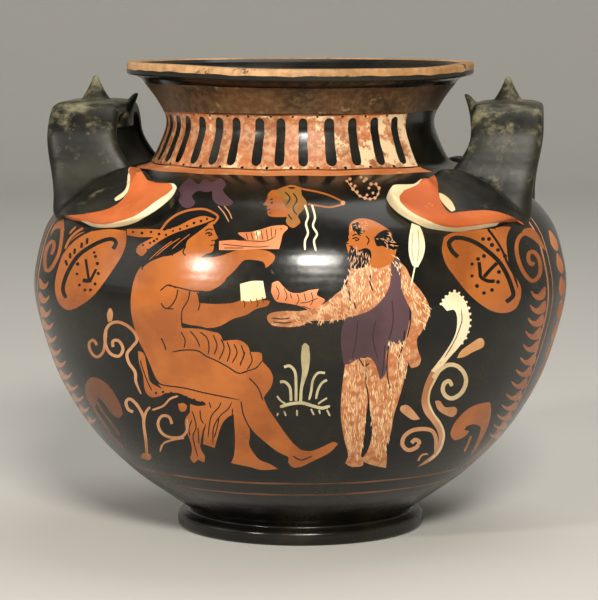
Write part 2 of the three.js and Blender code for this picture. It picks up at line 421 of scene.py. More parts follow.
def seatedHead():
    # face, kerchief and hair
    fill("clay", """
        196,258! 190,256 184,246 196,232 213,221! 213,226 216,234 218,238 214,240! 215,243 213,245!
        214,247 212,252 206,254 201,257
    """)
    brush("clay", 2.2, "161,230 168,221 178,214 190,210 203,209 212,212 218,217 213,224", (1, 1))
    fill("clay", """
        215,219! 205,223 190,228 175,233 163,239 150,248 142,256 136,252! 138,246 148,240 160,234! 166,230
        178,226 192,219 204,216
    """)
    fill("clay", "127,229! 138,229 150,229 162,230 168,233! 162,237 150,237 138,237 127,235!")
    fill("gloss", """
        209,224! 198,228 184,234 170,240 158,248 146,259 141,269! 150,262 162,257 172,255 184,248 188,240
        197,233
    """)
    brush("gloss", 1.35, "186,246 183,252 186,256 / 174,250 172,256 / 148,256 143,264 142,270")
    brush("clay", 0.8, "172,241 160,250 149,260 / 180,238 168,246 156,256 / 190,234 181,241 172,249")
    dots("gloss", 1.3, """
        133,232 142,233 151,232 159,234 143,245 150,243 157,239 148,250 166,235 173,231 180,229 187,226
        194,223 201,221 207,219 154,241 170,228
    """)
    brush("gloss", 1.25, """
        205,231 209,229 213,230 / 205,234 209,232.5 212,234.5 208,236 / 214,240 211,241 / 213,245
        210,245.5
    """)
    dots("gloss", 0.8, "209,234")


def sashAndBirds():
    # sash, upper bird, box and lower bird
    fill("purple", """
        178,190! 178,199 182,206 189,208 195,203 192,196 198,191 206,192 212,191! 213,200 219,205 228,206
        233,202 227,196 223,190 226,184 220,178 212,182 205,179 198,184 190,178 183,183
    """)
    brush("pale", 1.2, "218,206 224,213 229,222 / 224,206 229,212 232,219")
    fill("rose", """
        219,241! 232,240 247,240! 238,233 250,232 262,229 272,226 284,225! 288,228 283,234 281,242
        279,249! 268,249 258,249 240,250 219,250!
    """)
    brush("gloss", 0.8, """
        236,240 252,241 266,241 276,236 / 222,244 240,246 258,247 270,246 / 224,248 244,248 / 246,233
        248,240 / 251,232 253,240 / 256,231 258,240 / 261,230 263,240 / 266,229 268,240 / 271,228 272,238
        / 276,229 275,236
    """)
    dots("gloss", 0.8, "281,229 234,234")
    fill("cream", "240,284! 252,281 263,281! 266,298! 253,301 241,301!")
    brush("gloss", 0.9, """
        243,300 245,304 244,308 / 250,299 252,303 / 256,298 258,304 256,307 / 262,297 264,303 / 266,284
        268,290 266,297 / 270,283 272,290 270,300
    """)
    fill("rose", """
        272,283! 278,281 283,286 290,292 300,293 310,290 319,289! 317,295 325,300 320,307 323,317! 313,314
        305,308 296,305 285,303 276,301 271,292!
    """)
    brush("gloss", 0.8, """
        284,288 287,296 285,301 / 290,293 292,299 / 297,294 299,300 296,305 / 304,293 306,301 / 311,292
        313,300 310,306 / 276,286 279,293 277,300 / 318,298 308,302 300,303 / 302,306 312,310 322,317
    """)


def hangingHead():
    # a small head with loose hair and a pointed cap
    fill("clay", """
        272,190! 282,191 287,203 289,215 284,217! 276,217 269,216 267,212! 268,210 266.5,209! 267.5,206
        263,205! 267,199 268,194
    """)
    fill("ochre", """
        276,190! 284,187 292,189 300,187 302,195 307,203 303,210 298,216 300,222 293,226 286,222 288,212
        284,204 281,197
    """)
    brush("gloss", 1.25, """
        285,192 290,198 286,205 / 293,193 297,200 293,208 297,215 / 288,214 292,220 / 270,200 273,198.5 /
        270,203 273,202 271,204.5 / 268,209 271,210 / 269,213 271.5,213
    """)
    brush("clay", 1.8, "283,188 292,186 303,189 318,192 331,196 343,203 331,207 320,206 308,204", (1, 1))
    dots("pale", 2.2, "343,203")
    brush("clay", 1.8, "300,222 293,227 287,223", (1, 1))
    brush("cream", 2.0, """
        305,205 308,216 306,224 308,233 305,241 305,250 / 312,205 315,217 313,226 317,234 314,241 316,251
    """, (1, 0.6))


def dottedWreath():
    dots("pale", 1.6, """
        347,181 351,184 353,189 357,192 360,196 365,198 370,199 375,198 378,194 379,188 376,184 371,184
        366,179 361,177 364,181 369,188 373,193 367,195 355,186 350,179
    """)
    brush("pale", 0.9, "347,181 353,189 360,196 370,199 378,195 378,187 371,183")


def standingBody():
    # legs, near arm, far arm and cloak
    fill("hairy", """
        346,358! 343,380 341,400 341,418 344,438 348,455 345,463! 352,467 363,465 361,455! 364,437 366,417
        368,398 368,378 372,358!
    """)
    fill("hairy", """
        366,354! 366,380 369,402 372,425 371,440 367,452 362,460 372,465 386,468! 387,456 386,448 391,432
        394,415 398,402 403,385 407,368 410,352 407,338! 390,342 380,352
    """)
    fill("hairy", """
        352,262! 349,275 346,286 336,294 328,301 315,308 300,311 285,311 271,313 267,318 272,325 285,327
        300,326 312,321 327,321 345,319 358,317! 372,310 384,300 391,285 396,262! 382,252 368,262
    """)
    fill("hairy", """
        400,262! 406,268 412,280 421,291 428,303 430,313 426,324 421,333 417,339 418,350 421,359 418,366
        411,368! 407,358 407,342 403,332! 409,322 411,311 405,299 401,288 398,274
    """)
    fill("purple", """
        391,262! 396,258 401,262! 401,280 403,293 409,308 409,322 406,336 403,345! 392,344 386,354 386,372
        380,380! 376,366 370,358 360,358 352,363 344,365! 341,345 342,328 347,318 358,315 372,309 383,298
        390,284
    """)
    brush("purpleDark", 1.2, """
        376,320 373,338 378,360 / 392,300 393,322 388,344 / 358,320 356,340 352,358 / 385,345 384,360
        382,376
    """)
    brush("gloss", 1.35, """
        366,362 366,380 368,395 369,409 / 389,345 387,362 388,380 392,396 / 405,330 403,344 400,356
        399,370 / 347,286 350,298 349,312 / 371,270 370,282 373,291 / 367,412 366,430 369,444 / 411,312
        410,325 407,338 / 359,358 364,366 370,363 / 354,302 356,310
    """)
    brush("gloss", 1.25, "272,318 282,319 290,318 / 273,322 284,323 292,322")


def standingHead():
    # brow, beard and hair
    fill("clay", """
        349,232! 350,224 357,219 368,219 380,224 391,232 396,242 396,252 392,262 380,268 368,266 352,262!
        348,252 346,243! 349,240 348,236
    """)
    fill("gloss", "351,246! 358,250 366,248 371,252 370,262 362,268 352,268 348,260! 349,252")
    fill("gloss", "374,238! 380,232 388,230 395,238 397,248 390,250 383,246 377,246")
    fill("gloss", "352,224! 358,222 361,228 365,232 358,234 353,230")
    brush("gloss", 1.25, """
        352,236 357,234 361,236 / 352,239 356,237.5 359,239.5 355,241 / 349,246 353,246.5 / 349,233
        347,239 346,243 349,244 / 366,236 369,240 367,245
    """)
    dots("gloss", 0.8, "355.5,239.5")
    tufts("pale", 1.0, 6, 45, "351,248 366,250 370,262 360,270 348,264", 95, 25)
    tufts("pale", 1.1, 5, 26, "375,238 388,231 396,244 393,252 384,248", 60, 60)
    tufts("pale", 1.0, 5, 22, "350,232 355,222 366,222 364,232", 30, 60)


def spindle():
    fill("cream", "412,222! 418,224 423,234 425,246 423,257 418,267! 413,266 409,254 409,238")
    brush("pale", 0.9, "413,232 412,250 414,262 / 418,230 419,248 417,262")
    brush("cream", 1.5, "415,266 413,276 411,286")


def whiteHair():
    # brushed over the standing body
    tufts("tuft", 1.1, 6, 150, "352,268 390,268 384,296 366,308 350,314 340,300", 85, 25)
    tufts("tuft", 1.1, 6, 75, "330,300 346,292 352,314 322,320 300,324 290,318 312,312", 60, 40)
    tufts("tuft", 1.0, 6.5, 200, """
        347,366 365,364 367,400 364,440 360,458 350,456 343,420 343,390
    """, 88, 14)
    tufts("tuft", 1.0, 6.5, 180, """
        370,370 384,385 400,360 405,372 394,410 388,445 380,460 372,440 370,400
    """, 88, 14)
    tufts("tuft", 1.1, 6, 60, "402,270 410,285 424,302 427,314 414,326 410,300 402,288", 75, 30)
    tufts("tuft", 1.15, 5, 46, "338,298 330,304 318,312 322,320 346,318 352,314 344,318 316,324", 95, 30)
    tufts("tuft", 1.15, 6, 40, """
        390,254 402,262 403,276 412,288 430,304 428,322 420,336 424,318 424,306 408,284 398,272
    """, 70, 40)
    tufts("tuft", 1.1, 6, 60, "386,345 407,342 410,352 404,380 399,384 398,360", 85, 20)


def plant():
    fill("thinCream", """
        302,346! 305,343 309,346! 310,358 308,372 303,388 302,402 299,402! 300,388 302,372 301,358
    """)
    brush("thinCream", 2.8, """
        284,367 290,366 295,372 296,384 296,401 / 280,382 285,382 290,388 291,401
    """, (1, 0.8))
    brush("thinCream", 2.4, """
        325,373 318,373 313,380 311,392 309,400 / 327,380 322,383 318,390 316,399
    """, (1, 0.5))
    brush("thinCream", 3.2, "280,407 290,404 302,403 313,406 322,408 330,406", (0.7, 0.6))
    brush("thinCream", 1.8, """
        277,396 281,401 286,404 / 327,398 322,401 318,404 / 278,413 277,416 / 284,411 286,416 / 297,410
        297,416 / 311,409 314,415 / 319,410 320,414 / 327,410 330,416
    """, (1, 0.6))


def rightScroll():
    fill("pale", """
        431,371! 427,379 423.3,390 421.5,402 424.5,413 431.6,422 437.5,431.6 438.7,442 434,453 426,460
        417.5,467! 429,462 438.7,454 443.5,444.6 445,433 441,422 434,412.7 429.5,402 430.5,390 435,381
        442,366!
    """)
    brush("dimCream", 1.9, """
        441,369 434.5,381 430,390.5 428.8,402 433.5,413.5 440,423 443.8,433 442.2,444 437.5,453 429,461
    """, (1, 0.6))
    fill("cream", """
        441,304! 446,297 454,292 461,296 466,303 469,314 469.5,325 466,337 459,347 450,357 442,367
        436,373! 431,371! 438,362 446,351 453,339.5 456.5,329 457,317 454,310 447,311!
    """)
    dots("cream", 1.4, """
        441,304 443,300 446,296.5 450,293 454.5,291 459,293 463,297 466.5,302 468.8,308 470,314 470.6,320
        470,326 468.5,332 466,338 462,343
    """)
    brush("gloss", 0.9, "461,309 462,320 458.7,331 454,342 444.5,358", (0.3, 0.3))
    brush("dimCream", 4.2, """
        433,378 440,370 448,365 457,366 464,373 466,382 462,392 454,398 447,397 443,391 444,384 449,381
        452,386
    """, (0.8, 0.8))
    brush("pale", 4.0, """
        435,455 436.3,441 432.8,431.6 424.5,429 412.7,430.4 404.4,436.3 402.5,444.6 408,450 416.2,447.5
        419.3,442 415,439.8 411.5,443
    """, (0.4, 1))
    brush("pale", 1.8, "418,461 422,455 428,454", (0.5, 0.5))
    fill("dimClay", "457,358! 461,351 470,344 480,338 484,341 483,347 473,352 464,357")
    fill("pale", "435,401! 440,401 445,407 455,407 457,412 452,417 442,413 437,408")
    fill("pale", "401,406! 407,405 413,410 420,419! 413,420 405,415 400,410")


def leftScrolls():
    brush("pale", 3.0, """
        141,394 136,382 135,372 129,363 127,354 132,347 137,340 134,332 126,325 117,322 109,325 105,334
        106,346 111,354 119,356 123,349 119,341 113,341 113,347
    """, (0.4, 1))
    brush("pale", 2.8, "106,332 105,343 103,352 97,357 91,352 89,344 93,340 97,345", (1, 1))
    fill("pale", "108,322! 107,314 110,308 113,313 112,321!")
    brush("pale", 3.0, """
        147,456 146,442 144,427 143,416 137,405 130,399 126,402 128,409 133,412
    """, (0.6, 1))
    brush("pale", 2.6, "144,420 146,412 150,407", (1, 0.6))
    brush("pale", 2.8, """
        172,424 169,417 162,416 158,423 161,432 169,437 181,437 187,430 187,419
    """, (1, 0.5))
    brush("pale", 2.0, "184,438 172,440 163,444 160,452", (0.8, 0.3))
    brush("pale", 2.0, "152,410 163,406 170,399 178,396", (0.5, 0.5))
    dots("pale", 3.2, "144,456 148,457")


def commaLeaves():
    fill("clay", """
        450.5,434 453,426 458.7,417.6 468.3,408.7 478.5,404 490,402! 491.2,408 490.6,416 488.7,424 486,431
        481,441 476,449 470.5,456! 475,446 478.5,437 480,432 480.4,427 476,424.6 471,424.6 466,427
        464.4,430! 469.5,431! 466,435.5 460.6,438.7 454,440
    """)
    brush("clay", 2.0, "471,436 468,444 464,452", (1, 0.3))
    # the lower left leaf is painted in a darker clay: painted shade for the dim lower part of the jar
    fill("brown", """
        86,396! 85,386 90,378 97,378 107,384 114,393 120,404 123,414! 118,418 110,412 106,406 99,398
        97,402 94,408 90,404
    """)
    brush("brown", 2.4, """
        90,398 95,410 104,424 114,438 125,449 / 97,402 103,412 112,424 120,436
    """, (1, 0.3))


def rightLeaf():
    # great leaf, spiral and ladder
    fill("clay", """
        444,237! 442,250 446,264 455,277 467,292 479,303 492,311 505,313 515,309 520,300 521,288 516,277
        509,264 507,250 505,238 497,230 486,229 468,231 452,233
    """)
    brush("gloss", 4.4, """
        458,257 452,251 449,243 455,238 466,239 478,244 490,253 500,263 507,275 512,288 513,296 506,302
    """, (1, 0.9))
    brush("gloss", 2.4, "488,229 496,240 503,252 507,262 514,275 518,288", (1, 0.3))
    dots("gloss", 2.0, """
        483,239 489,239 492,245 498,250 505,256 472,264 478,259 484,256 472,276 477,286 484,293 492,290
        498,282 499,272
    """)
    brush("gloss", 3.6, "479,262 480,270 481,277 488,281 495,281 / 497,263 490,270 484,277", (0.9, 0.7))
    fill("clay", "495,228! 503,226.5 511,227! 508,233 506.5,240 506.5,248! 503,240 499,233")
    fill("clay", "521,234! 524,229 531,228 537,233 542,242 546,251! 540,246 534,240 527,236")
    brush("clay", 3.9, """
        538,238 532.5,234.8 526.5,233.3 520.8,235.5 517.4,241.5 516.6,250.5 519.3,262.6 524.5,273.5
        531.2,280.6 536.5,279 540,273.3 540.2,264 537.7,256 532.7,251.6 528.7,254.2 528.7,260.6 532,264.6
        533.7,262
    """, (1, 0.8))
    ladder("clay", """
        538,294,7,7.5 537.5,308,7.5,7.5 535.5,321,7.5,7 533,334,7.5,7 530.5,347,7.5,6.5 527.5,360,7.5,6.5
        523.5,372,7.5,6 519,384,7.5,6 513.5,396,7.5,5.5 509,406.5,7.5,5 504,416.5,7,5 500,426,6.5,4.5
        495,435,5.5,4.5
    """)


def leftLeaf():
    # great leaf, spiral and ladder
    fill("clay", """
        126,231! 126,243 122,255 114,268 105,281 95,294 83,304 70,310 61,306 56,296 55,283 58,268 63,254
        70,242 80,233 94,231 110,229
    """)
    brush("gloss", 4.0, """
        113,249 116,243 112,239 102,241 90,247 79,255 71,266 65,279 63,290 66,298
    """, (1, 0.8))
    brush("gloss", 2.2, "92,230 82,234.5 74,240 67,247 62,254", (0.6, 0.5))
    brush("clay", 2.4, "65,249 69.5,239.5 76,232.5 83,228", (0.4, 0.7))
    brush("clay", 1.8, "69.5,233.5 72.5,230 76,226.5", (0.5, 0.7))
    brush("gloss", 2.6, """
        87.4,238 86.8,244 / 81.9,242.5 81.3,248 / 75,248.5 74.2,254 / 70,253 70.2,258.6 / 65.4,260
        67.2,265.5
    """, (0.7, 0.7))
    dots("gloss", 1.7, """
        94.2,252.5 95.4,256.5 97.4,263.5 98.3,273.5 95,284 90.5,290 85,290 79.5,285 77,274 77.7,264
    """)
    brush("gloss", 2.6, "85.7,259 87,268 88.7,279 / 96.3,269 90.5,280", (0.6, 0.8))
    brush("gloss", 4.2, "82.5,280.2 87,280.8 91.5,280.2", (0.8, 0.8))
    fill("clay", "63.7,218.5! 64.3,231! 58,228.5 53.5,231 50,237! 52.5,228 58,222")
    brush("clay", 3.4, """
        61.9,224 62,232 61.3,240.2 59.2,252 54.9,262.2 49.6,270 46,270 44.9,263.7 45.2,254.9 47.7,246.3
        51.8,241.2 54,243.4 53.4,249 51.3,254.5
    """, (1, 0.7))
    ladder("clay", """
        44,284,4.5,6.5 44.5,298,5,6.5 46,312,5,6.5 48,325,5.5,6 51,338,5.5,6 55,351,6,6 60,363,6,5.5
        66,375,6,5.5 72,387,6,5 78,398,5.5,5 84.5,409,4.5,4.5 92,420,4,4
    """)


# in painter's order; the pictures at the sides are repeated on the rear, mirrored at each handle
frontPictures = (
    seatCloth, seatedBody, seatedHead, sashAndBirds, hangingHead, dottedWreath, standingBody,
    standingHead, spindle, whiteHair, plant, rightScroll, leftScrolls,
)
sidePictures = (commaLeaves, rightLeaf, leftLeaf)
for picture in frontPictures:
    picture()
sideFrom = len(shapes)
for picture in sidePictures:
    picture()


# bands, tongues and side ornaments, laid out by angle from the painted front and height
onSurface = []
bands = []
rings = {
    "seam": 152,
    "points": 240,
    "groundLines": [(45.9, 47.2), (37.4, 38.5)],
    "neckLine": (233.5, 236.1),
    "neckBand": (269.9, 286.8),
    "tanLip": 295.6,
    "tanWobble": 0.35,
}
tongues = {
    "zone": (236.6, 269.3),
    "front": (
        -79, 55.4, [-74, -65, -56.4, -48.2, -38.7, -29.3, -21, -10.7, -1.9, 7.1, 17.8, 27.7, 37.9, 48.5],
    ),
    "rearRight": (128, rings["seam"] - 0.03, [136.8, 146.4]),
    "rearLeft": (rings["seam"] - 359.97, -128, [-204 + 9.6 * k for k in range(8)]),
    "halfAngle": 1.95,
    "span": (238.4, 267.4),
    "footRound": 3.2,
    "headRound": 3,
    "footSpot": (237.4, 1.1),
    "headSpot": (268.2, 0.8),
}
sides = {
    "frameLines": [(69.3, 2.6), (72.1, 1.5)],
    "frameSpan": (46, 211),
    "stemSpan": (62, 196),
    "stemWidth": 1.4,
    "leafHeights": [188, 173.5, 159, 144.5, 130, 116, 102.5, 90],
    "leafOutward": [10.0, 9.2, 9.6, 8.8, 8.0, 7.2, 6.4, 5.6],
    "leafHalf": (3.6, 6.6),
    "leafLean": 0.12,
    "budHeight": 54,
    "budHalf": (4.2, 7),
}


def addByHeight(paint, outlinePoints):
    onSurface.append((paint, [(angle, reachOf(height)) for angle, height in outlinePoints]))


def ring(paint, low, high, wobble):
    # a band round the whole jar, with a slightly uneven brush edge
    phase = chance.uniform(0, 6)
    angles = [rings["seam"] - 360 + 360 * k / rings["points"] for k in range(rings["points"] + 1)]

    def edge(level, shift):
        line = []
        for angle in angles:
            turn = math.radians(angle)
            sway = math.sin(3 * turn + phase + shift) + 0.6 * math.sin(11 * turn + shift)
            line.append(reachOf(level + wobble * (sway + 0.4 * math.sin(23 * turn + phase))))
        return line

    bands.append((paint, angles, edge(low, 0), edge(high, 2)))


def tanRim():
    # the lip's own clay, from its outer edge to the mouth
    rising = (outlineHeight > jar["lipBottom"]) & (along < along[-1] - 8)
    edge = float(np.interp(rings["tanLip"], outlineHeight[rising], along[rising]))
    steps = range(rings["points"] + 1)
    angles = [rings["seam"] - 360 + 360 * k / rings["points"] for k in steps]
    lower = [edge + rings["tanWobble"] * math.sin(0.21 * k) * math.sin(0.77 * k) for k in steps]
    bands.append(("tan", angles, lower, [float(along[-2])] * len(angles)))


def zone(paint, left, right, low, high):
    angles = np.linspace(left, right, max(3, int(abs(right - left))))
    heights = np.linspace(low, high, 8)[1:-1]
    loop = [(a, low + 0.15 * math.sin(math.radians(a) * 17)) for a in angles]
    loop += [(right, z) for z in heights]
    loop += [(a, high + 0.2 * math.sin(math.radians(a) * 13)) for a in angles[::-1]]
    loop += [(left, z) for z in heights[::-1]]
    addByHeight(paint, loop)


def tongue(angle):
    low, high = tongues["span"][0] + tongues["footRound"], tongues["span"][1] - tongues["headRound"]
    half = tongues["halfAngle"] * chance.uniform(0.92, 1.1)
    halfCircle = [math.pi * k / 8 for k in range(9)]
    loop = []
    for t in halfCircle:
        uneven = chance.uniform(-0.1, 0.1)
        loop.append((angle - half * math.cos(t), low - tongues["footRound"] * math.sin(t) + uneven))
    for k in range(1, 5):
        loop.append((angle + half * (1 + 0.06 * math.sin(2.2 * k)), mix(low, high, k / 5)))
    for t in halfCircle:
        loop.append((angle + half * math.cos(t), high + tongues["headRound"] * math.sin(t)))
    for k in range(4, 0, -1):
        loop.append((angle - half * (1 + 0.06 * math.sin(1.7 * k)), mix(low, high, k / 5)))
    addByHeight("gloss", loop)


def roundSpot(paint, angle, height, radius):
    wide, tall = math.degrees(radius / girthAt(height)), 0.8 * radius
    addByHeight(paint, [(angle + wide * math.cos(t), height + tall * math.sin(t)) for t in around(10)])


def neckPattern(left, right, angles):
    low, high = tongues["zone"]
    zone("tongueGround", left, right, low, high)
    for angle in angles:
        tongue(angle)
    for one, other in zip(angles, angles[1:]):
        roundSpot("gloss", (one + other) / 2, *tongues["footSpot"])
        roundSpot("gloss", (one + other) / 2 + 0.4, *tongues["headSpot"])
    zone("brownLine", left, right, low - 0.2, low + 0.3)
    zone("brownLine", left, right, high - 0.6, high + 0.3)
    zone("rose", left + 2, right + 1, *rings["neckLine"])


for span in rings["groundLines"]:
    ring("brownLine", *span, 0.15)
ring("neckBand", *rings["neckBand"], 0.25)
tanRim()
for side in ("front", "rearRight", "rearLeft"):
    neckPattern(*tongues[side])
print("bands and tongues laid out:", len(onSurface))


# what stands under the handles: upright frame lines, leaves on both sides of a stem
def leafShape(angle, height, halfWidth, halfHeight, lean):
    # pointed above, round below, leaning outwards
    loop = []
    for t in around(16):
        upper = math.sin(t) > 0
        swell = 1 - 0.45 * math.sin(t) if upper else 1
        up = halfHeight * math.sin(t) * (1.15 if upper else 0.9)
        loop.append((angle + halfWidth * math.cos(t) * swell + lean * up, height + up))
    return loop


def uprightLine(paint, angle, low, high, width):
    heights = np.linspace(low, high, 40)
    half = [0.5 * width / (girthAt(z) * math.pi / 180) for z in heights]
    middle = [angle + 0.25 * math.sin(z * 0.05) for z in heights]
    loop = [(a - h, z) for a, h, z in zip(middle, half, heights)]
    loop += [(a + h, z) for a, h, z in zip(middle[::-1], half[::-1], heights[::-1])]
    addByHeight(paint, loop)


def mirroredAngle(angle, side):
    # the other side of a handle's own plane
    return side * 180 - angle


def underHandle(side):
    for angle, width in sides["frameLines"]:
        for at in (side * angle, mirroredAngle(side * angle, side)):
            uprightLine("pale", at, *sides["frameSpan"], width)
    uprightLine("pale", side * 90, *sides["stemSpan"], sides["stemWidth"])
    for height, outward in zip(sides["leafHeights"], sides["leafOutward"]):
        for way in (1, -1):
            at = side * 90 + way * outward
            addByHeight("rose", leafShape(at, height, *sides["leafHalf"], way * sides["leafLean"]))
    addByHeight("rose", leafShape(side * 90, sides["budHeight"], *sides["budHalf"], 0))


underHandle(1)
underHandle(-1)


# the rear: a plain palmette over two volutes with leaves, in millimetres from the rear's middle
palmette = {
    "girth": 165,
    "height": 134,
    "petals": 11,
    "spread": 18.5,
    "start": 15,
    "length": 64,
    "shorter": 0.055,
    "width": 6.0,
    "vein": 0.9,
    "heart": 11,
    "eye": 4,
}
volute = {
    "middle": 37,
    "height": 98,
    "reach": 30,
    "flatness": 0.95,
    "line": 1.9,
    "thinning": 0.3,
    "turns": 1.75,
    "leaves": [(76, 112, 5, 13, 35), (70, 82, 4, 11, 60)],
}


def onRear(paint, outlinePoints):
    perDegree = math.pi / 180 * palmette["girth"]
    addByHeight(paint, [(-180 + x / perDegree, height) for x, height in outlinePoints])


def turnedLoop(x, y, turn, loop):
    # points given sideways and upwards, turned clockwise about a place
    return [
        (x + side * math.cos(turn) + up * math.sin(turn), y - side * math.sin(turn) + up * math.cos(turn))
        for side, up in loop
    ]


def petal(turn, start, length, width):
    loop = []
    for t in around(20):
        sideways = width * math.sin(t) * (0.75 + 0.45 * math.cos(t))
        loop.append((sideways, start + length * (0.5 + 0.5 * math.cos(t))))
    return turnedLoop(0, palmette["height"], turn, loop)


def rearLeaf(x, y, halfWidth, halfLength, lean):
    loop = []
    for t in around(16):
        loop.append((halfWidth * math.sin(t) * (1 - 0.4 * math.cos(t)), halfLength * math.cos(t)))
    return turnedLoop(x, y, math.radians(lean), loop)


def rearPalmette():
    p = palmette
    for k in range(p["petals"]):
        step = k - (p["petals"] - 1) / 2
        turn = math.radians(p["spread"] * step)
        length = p["length"] * (1 - p["shorter"] * abs(step))
        onRear("clay", petal(turn, p["start"], length, p["width"]))
        onRear("gloss", petal(turn, p["start"] + 6, length - 16, p["vein"]))
    for paint, radius, count in (("clay", p["heart"], 23), ("gloss", p["eye"], 13)):
        onRear(paint, [(radius * math.cos(t), p["height"] + radius * math.sin(t)) for t in around(count)])


def rearVolute(way):
    v = volute
    middle = []
    for k in range(80):
        t = k / 79
        reach = mix(v["reach"], 4, t)
        turn = math.pi * (0.5 + 2 * v["turns"] * t)
        height = v["height"] - v["flatness"] * reach * math.sin(turn)
        middle.append((way * (v["middle"] - reach * math.cos(turn)), height))
    halfWidths = [v["line"] * (1 - v["thinning"] * i / len(middle)) for i in range(len(middle))]
    onRear("clay", ribbon(middle, halfWidths))
    for x, y, halfWidth, halfLength, lean in v["leaves"]:
        onRear("rose", rearLeaf(way * x, y, halfWidth, halfLength, way * lean))


rearPalmette()
rearVolute(1)
rearVolute(-1)
print("side and rear ornaments laid out:", len(onSurface))


# every shape as angle and reach on the jar, those of the sides repeated on the rear
def picturesOnJar():
    pixels = [p for paint, loop in shapes for p in loop]
    angle, reach = rayHits(pixels)
    placed = []
    begin = 0
    for number, (paint, loop) in enumerate(shapes):
        end = begin + len(loop)
        own = list(zip(angle[begin:end], reach[begin:end]))
        placed.append((paint, own))
        if number >= sideFrom:
            side = 1 if angle[begin] > 0 else -1
            placed.append((paint, [(mirroredAngle(a, side), r) for a, r in own[::-1]]))
        begin = end
    return placed


flat = {"perDegree": math.pi / 180 * 150, "gridStep": 4, "columns": 240, "tolerance": 0.05}
allShapes = onSurface + picturesOnJar()
print("pictures on the jar:", len(allShapes), "shapes")


def paintedSkin():
    # one flat map of the outside, cut along every outline; the topmost shape gives a face its paint
    perDegree = flat["perDegree"]
    left = (rings["seam"] - 360) * perDegree
    right = rings["seam"] * perDegree
    top = float(along[-1])
    rowCount = round(top / flat["gridStep"])
    edgeRows = [top * k / rowCount for k in range(rowCount + 1)]
    columns = [left + (right - left) * k / flat["columns"] for k in range(flat["columns"] + 1)]
    points = [Vector((x, 0)) for x in columns] + [Vector((right, y)) for y in edgeRows[1:-1]]
    points += [Vector((x, top)) for x in columns[::-1]] + [Vector((left, y)) for y in edgeRows[-2:0:-1]]
    border = list(range(len(points)))
    edges, loops = [], []
    for paint, loop in allShapes:
        spots = []
        for angle, reach in loop:
            spot = (min(right, max(left, angle * perDegree)), min(top, max(0.0, reach)))
            if not spots or math.dist(spot, spots[-1]) > flat["tolerance"]:
                spots.append(spot)
        first = len(points)
        edges += [(first + k, first + (k + 1) % len(spots)) for k in range(len(spots))]
        points.extend(Vector(spot) for spot in spots)
        loops.append((paint, spots))
    for paint, angles, lower, upper in bands:
        for line in (lower, upper):
            edges += [(len(points) + k, len(points) + k + 1) for k in range(len(line) - 1)]
            points.extend(Vector((a * perDegree, reach)) for a, reach in zip(angles, line))
    # rows of points between the outlines, closer where the profile turns quickly
    fineRows = [s for s in along if 0 < s < 16 or growAlong[-1] - 3 < s < top]
    for row in edgeRows[1:-1] + fineRows:
        points.extend(Vector((x, row)) for x in columns[1:-1])
    made = delaunay_2d_cdt(points, edges, [border], 1, 1e-5, False)
    corners = np.array([tuple(p) for p in made[0]])
    triangles = made[2]
    middles = corners[np.array(triangles)].mean(axis=1)
    paintOf = np.full(len(triangles), "gloss", dtype=object)
    for paint, angles, lower, upper in bands:
        low = np.interp(middles[:, 0], np.array(angles) * perDegree, lower)
        high = np.interp(middles[:, 0], np.array(angles) * perDegree, upper)
        paintOf[(middles[:, 1] > low) & (middles[:, 1] < high)] = paint
    for paint, loop in loops:
        paintOf[trianglesIn(loop, middles)] = paint
    spots = corners / [perDegree, 1]
    return placeOnJar(spots[:, 0], spots[:, 1]), triangles, list(paintOf), spots


def trianglesIn(loop, middles):
    # the triangles whose middles a closed line goes round
    xs, ys = [p[0] for p in loop], [p[1] for p in loop]
    near = (middles[:, 0] > min(xs)) & (middles[:, 0] < max(xs))
    near &= (middles[:, 1] > min(ys)) & (middles[:, 1] < max(ys))
    numbers = np.nonzero(near)[0]
    x, y = middles[numbers, 0], middles[numbers, 1]
    winding = np.zeros(len(numbers), int)
    for (ax, ay), (bx, by) in zip(loop, loop[1:] + loop[:1]):
        side = (bx - ax) * (y - ay) - (x - ax) * (by - ay)
        winding += (ay <= y) & (by > y) & (side > 0)
        winding -= (ay > y) & (by <= y) & (side < 0)
    return numbers[winding != 0]


skinPoints, skinFaces, skinPaints, skinSpots = paintedSkin()
print("painted skin:", len(skinPoints), "points,", len(skinFaces), "triangles")


# the inside, the foot's underside and one mesh for the whole turned jar
def turnedSkin(profile, paint, first):
    # rings of points from the profile's start to its end; a last radius of 0 closes to one point
    count = flat["columns"]
    points, faces = [], []
    rows = [p for p in profile if p[0] > 0.01]
    for radius, height in rows:
        for k in range(count):
            turn = math.radians(first + 360 * k / count)
            points.append((radius * math.sin(turn), -radius * math.cos(turn), height))
    for row in range(len(rows) - 1):
        for k in range(count):
            a, b = row * count + k, row * count + (k + 1) % count
            faces.append((a, b, b + count, a + count))
    if len(rows) < len(profile):
        points.append((0, 0, profile[-1][1]))
        last = (len(rows) - 1) * count
        faces += [(last + k, last + (k + 1) % count, len(points) - 1) for k in range(count)]
    return points, faces, [paint] * len(faces)


def insideProfile():
    wall = jar["wall"]
    edge, mouth = jar["floorEdge"], jar["height"] - jar["mouthDrop"]
    line = [(jar["mouth"], mouth), (jar["mouth"] - 1.5, mouth - jar["mouthLip"])]
    line += inset(neckLine, wall)[::-2][:-1]
    lower = inset(bodyLine, wall)[::-2]
    line += [p for p in lower if p[0] > edge[0] + 12 and p[1] > edge[1] + 1]
    turn = (mix(line[-1][0], edge[0], 0.5), mix(line[-1][1], edge[1], 0.8))
    return line + [turn, edge, jar["floorMiddle"]]


paintNumbers = {}


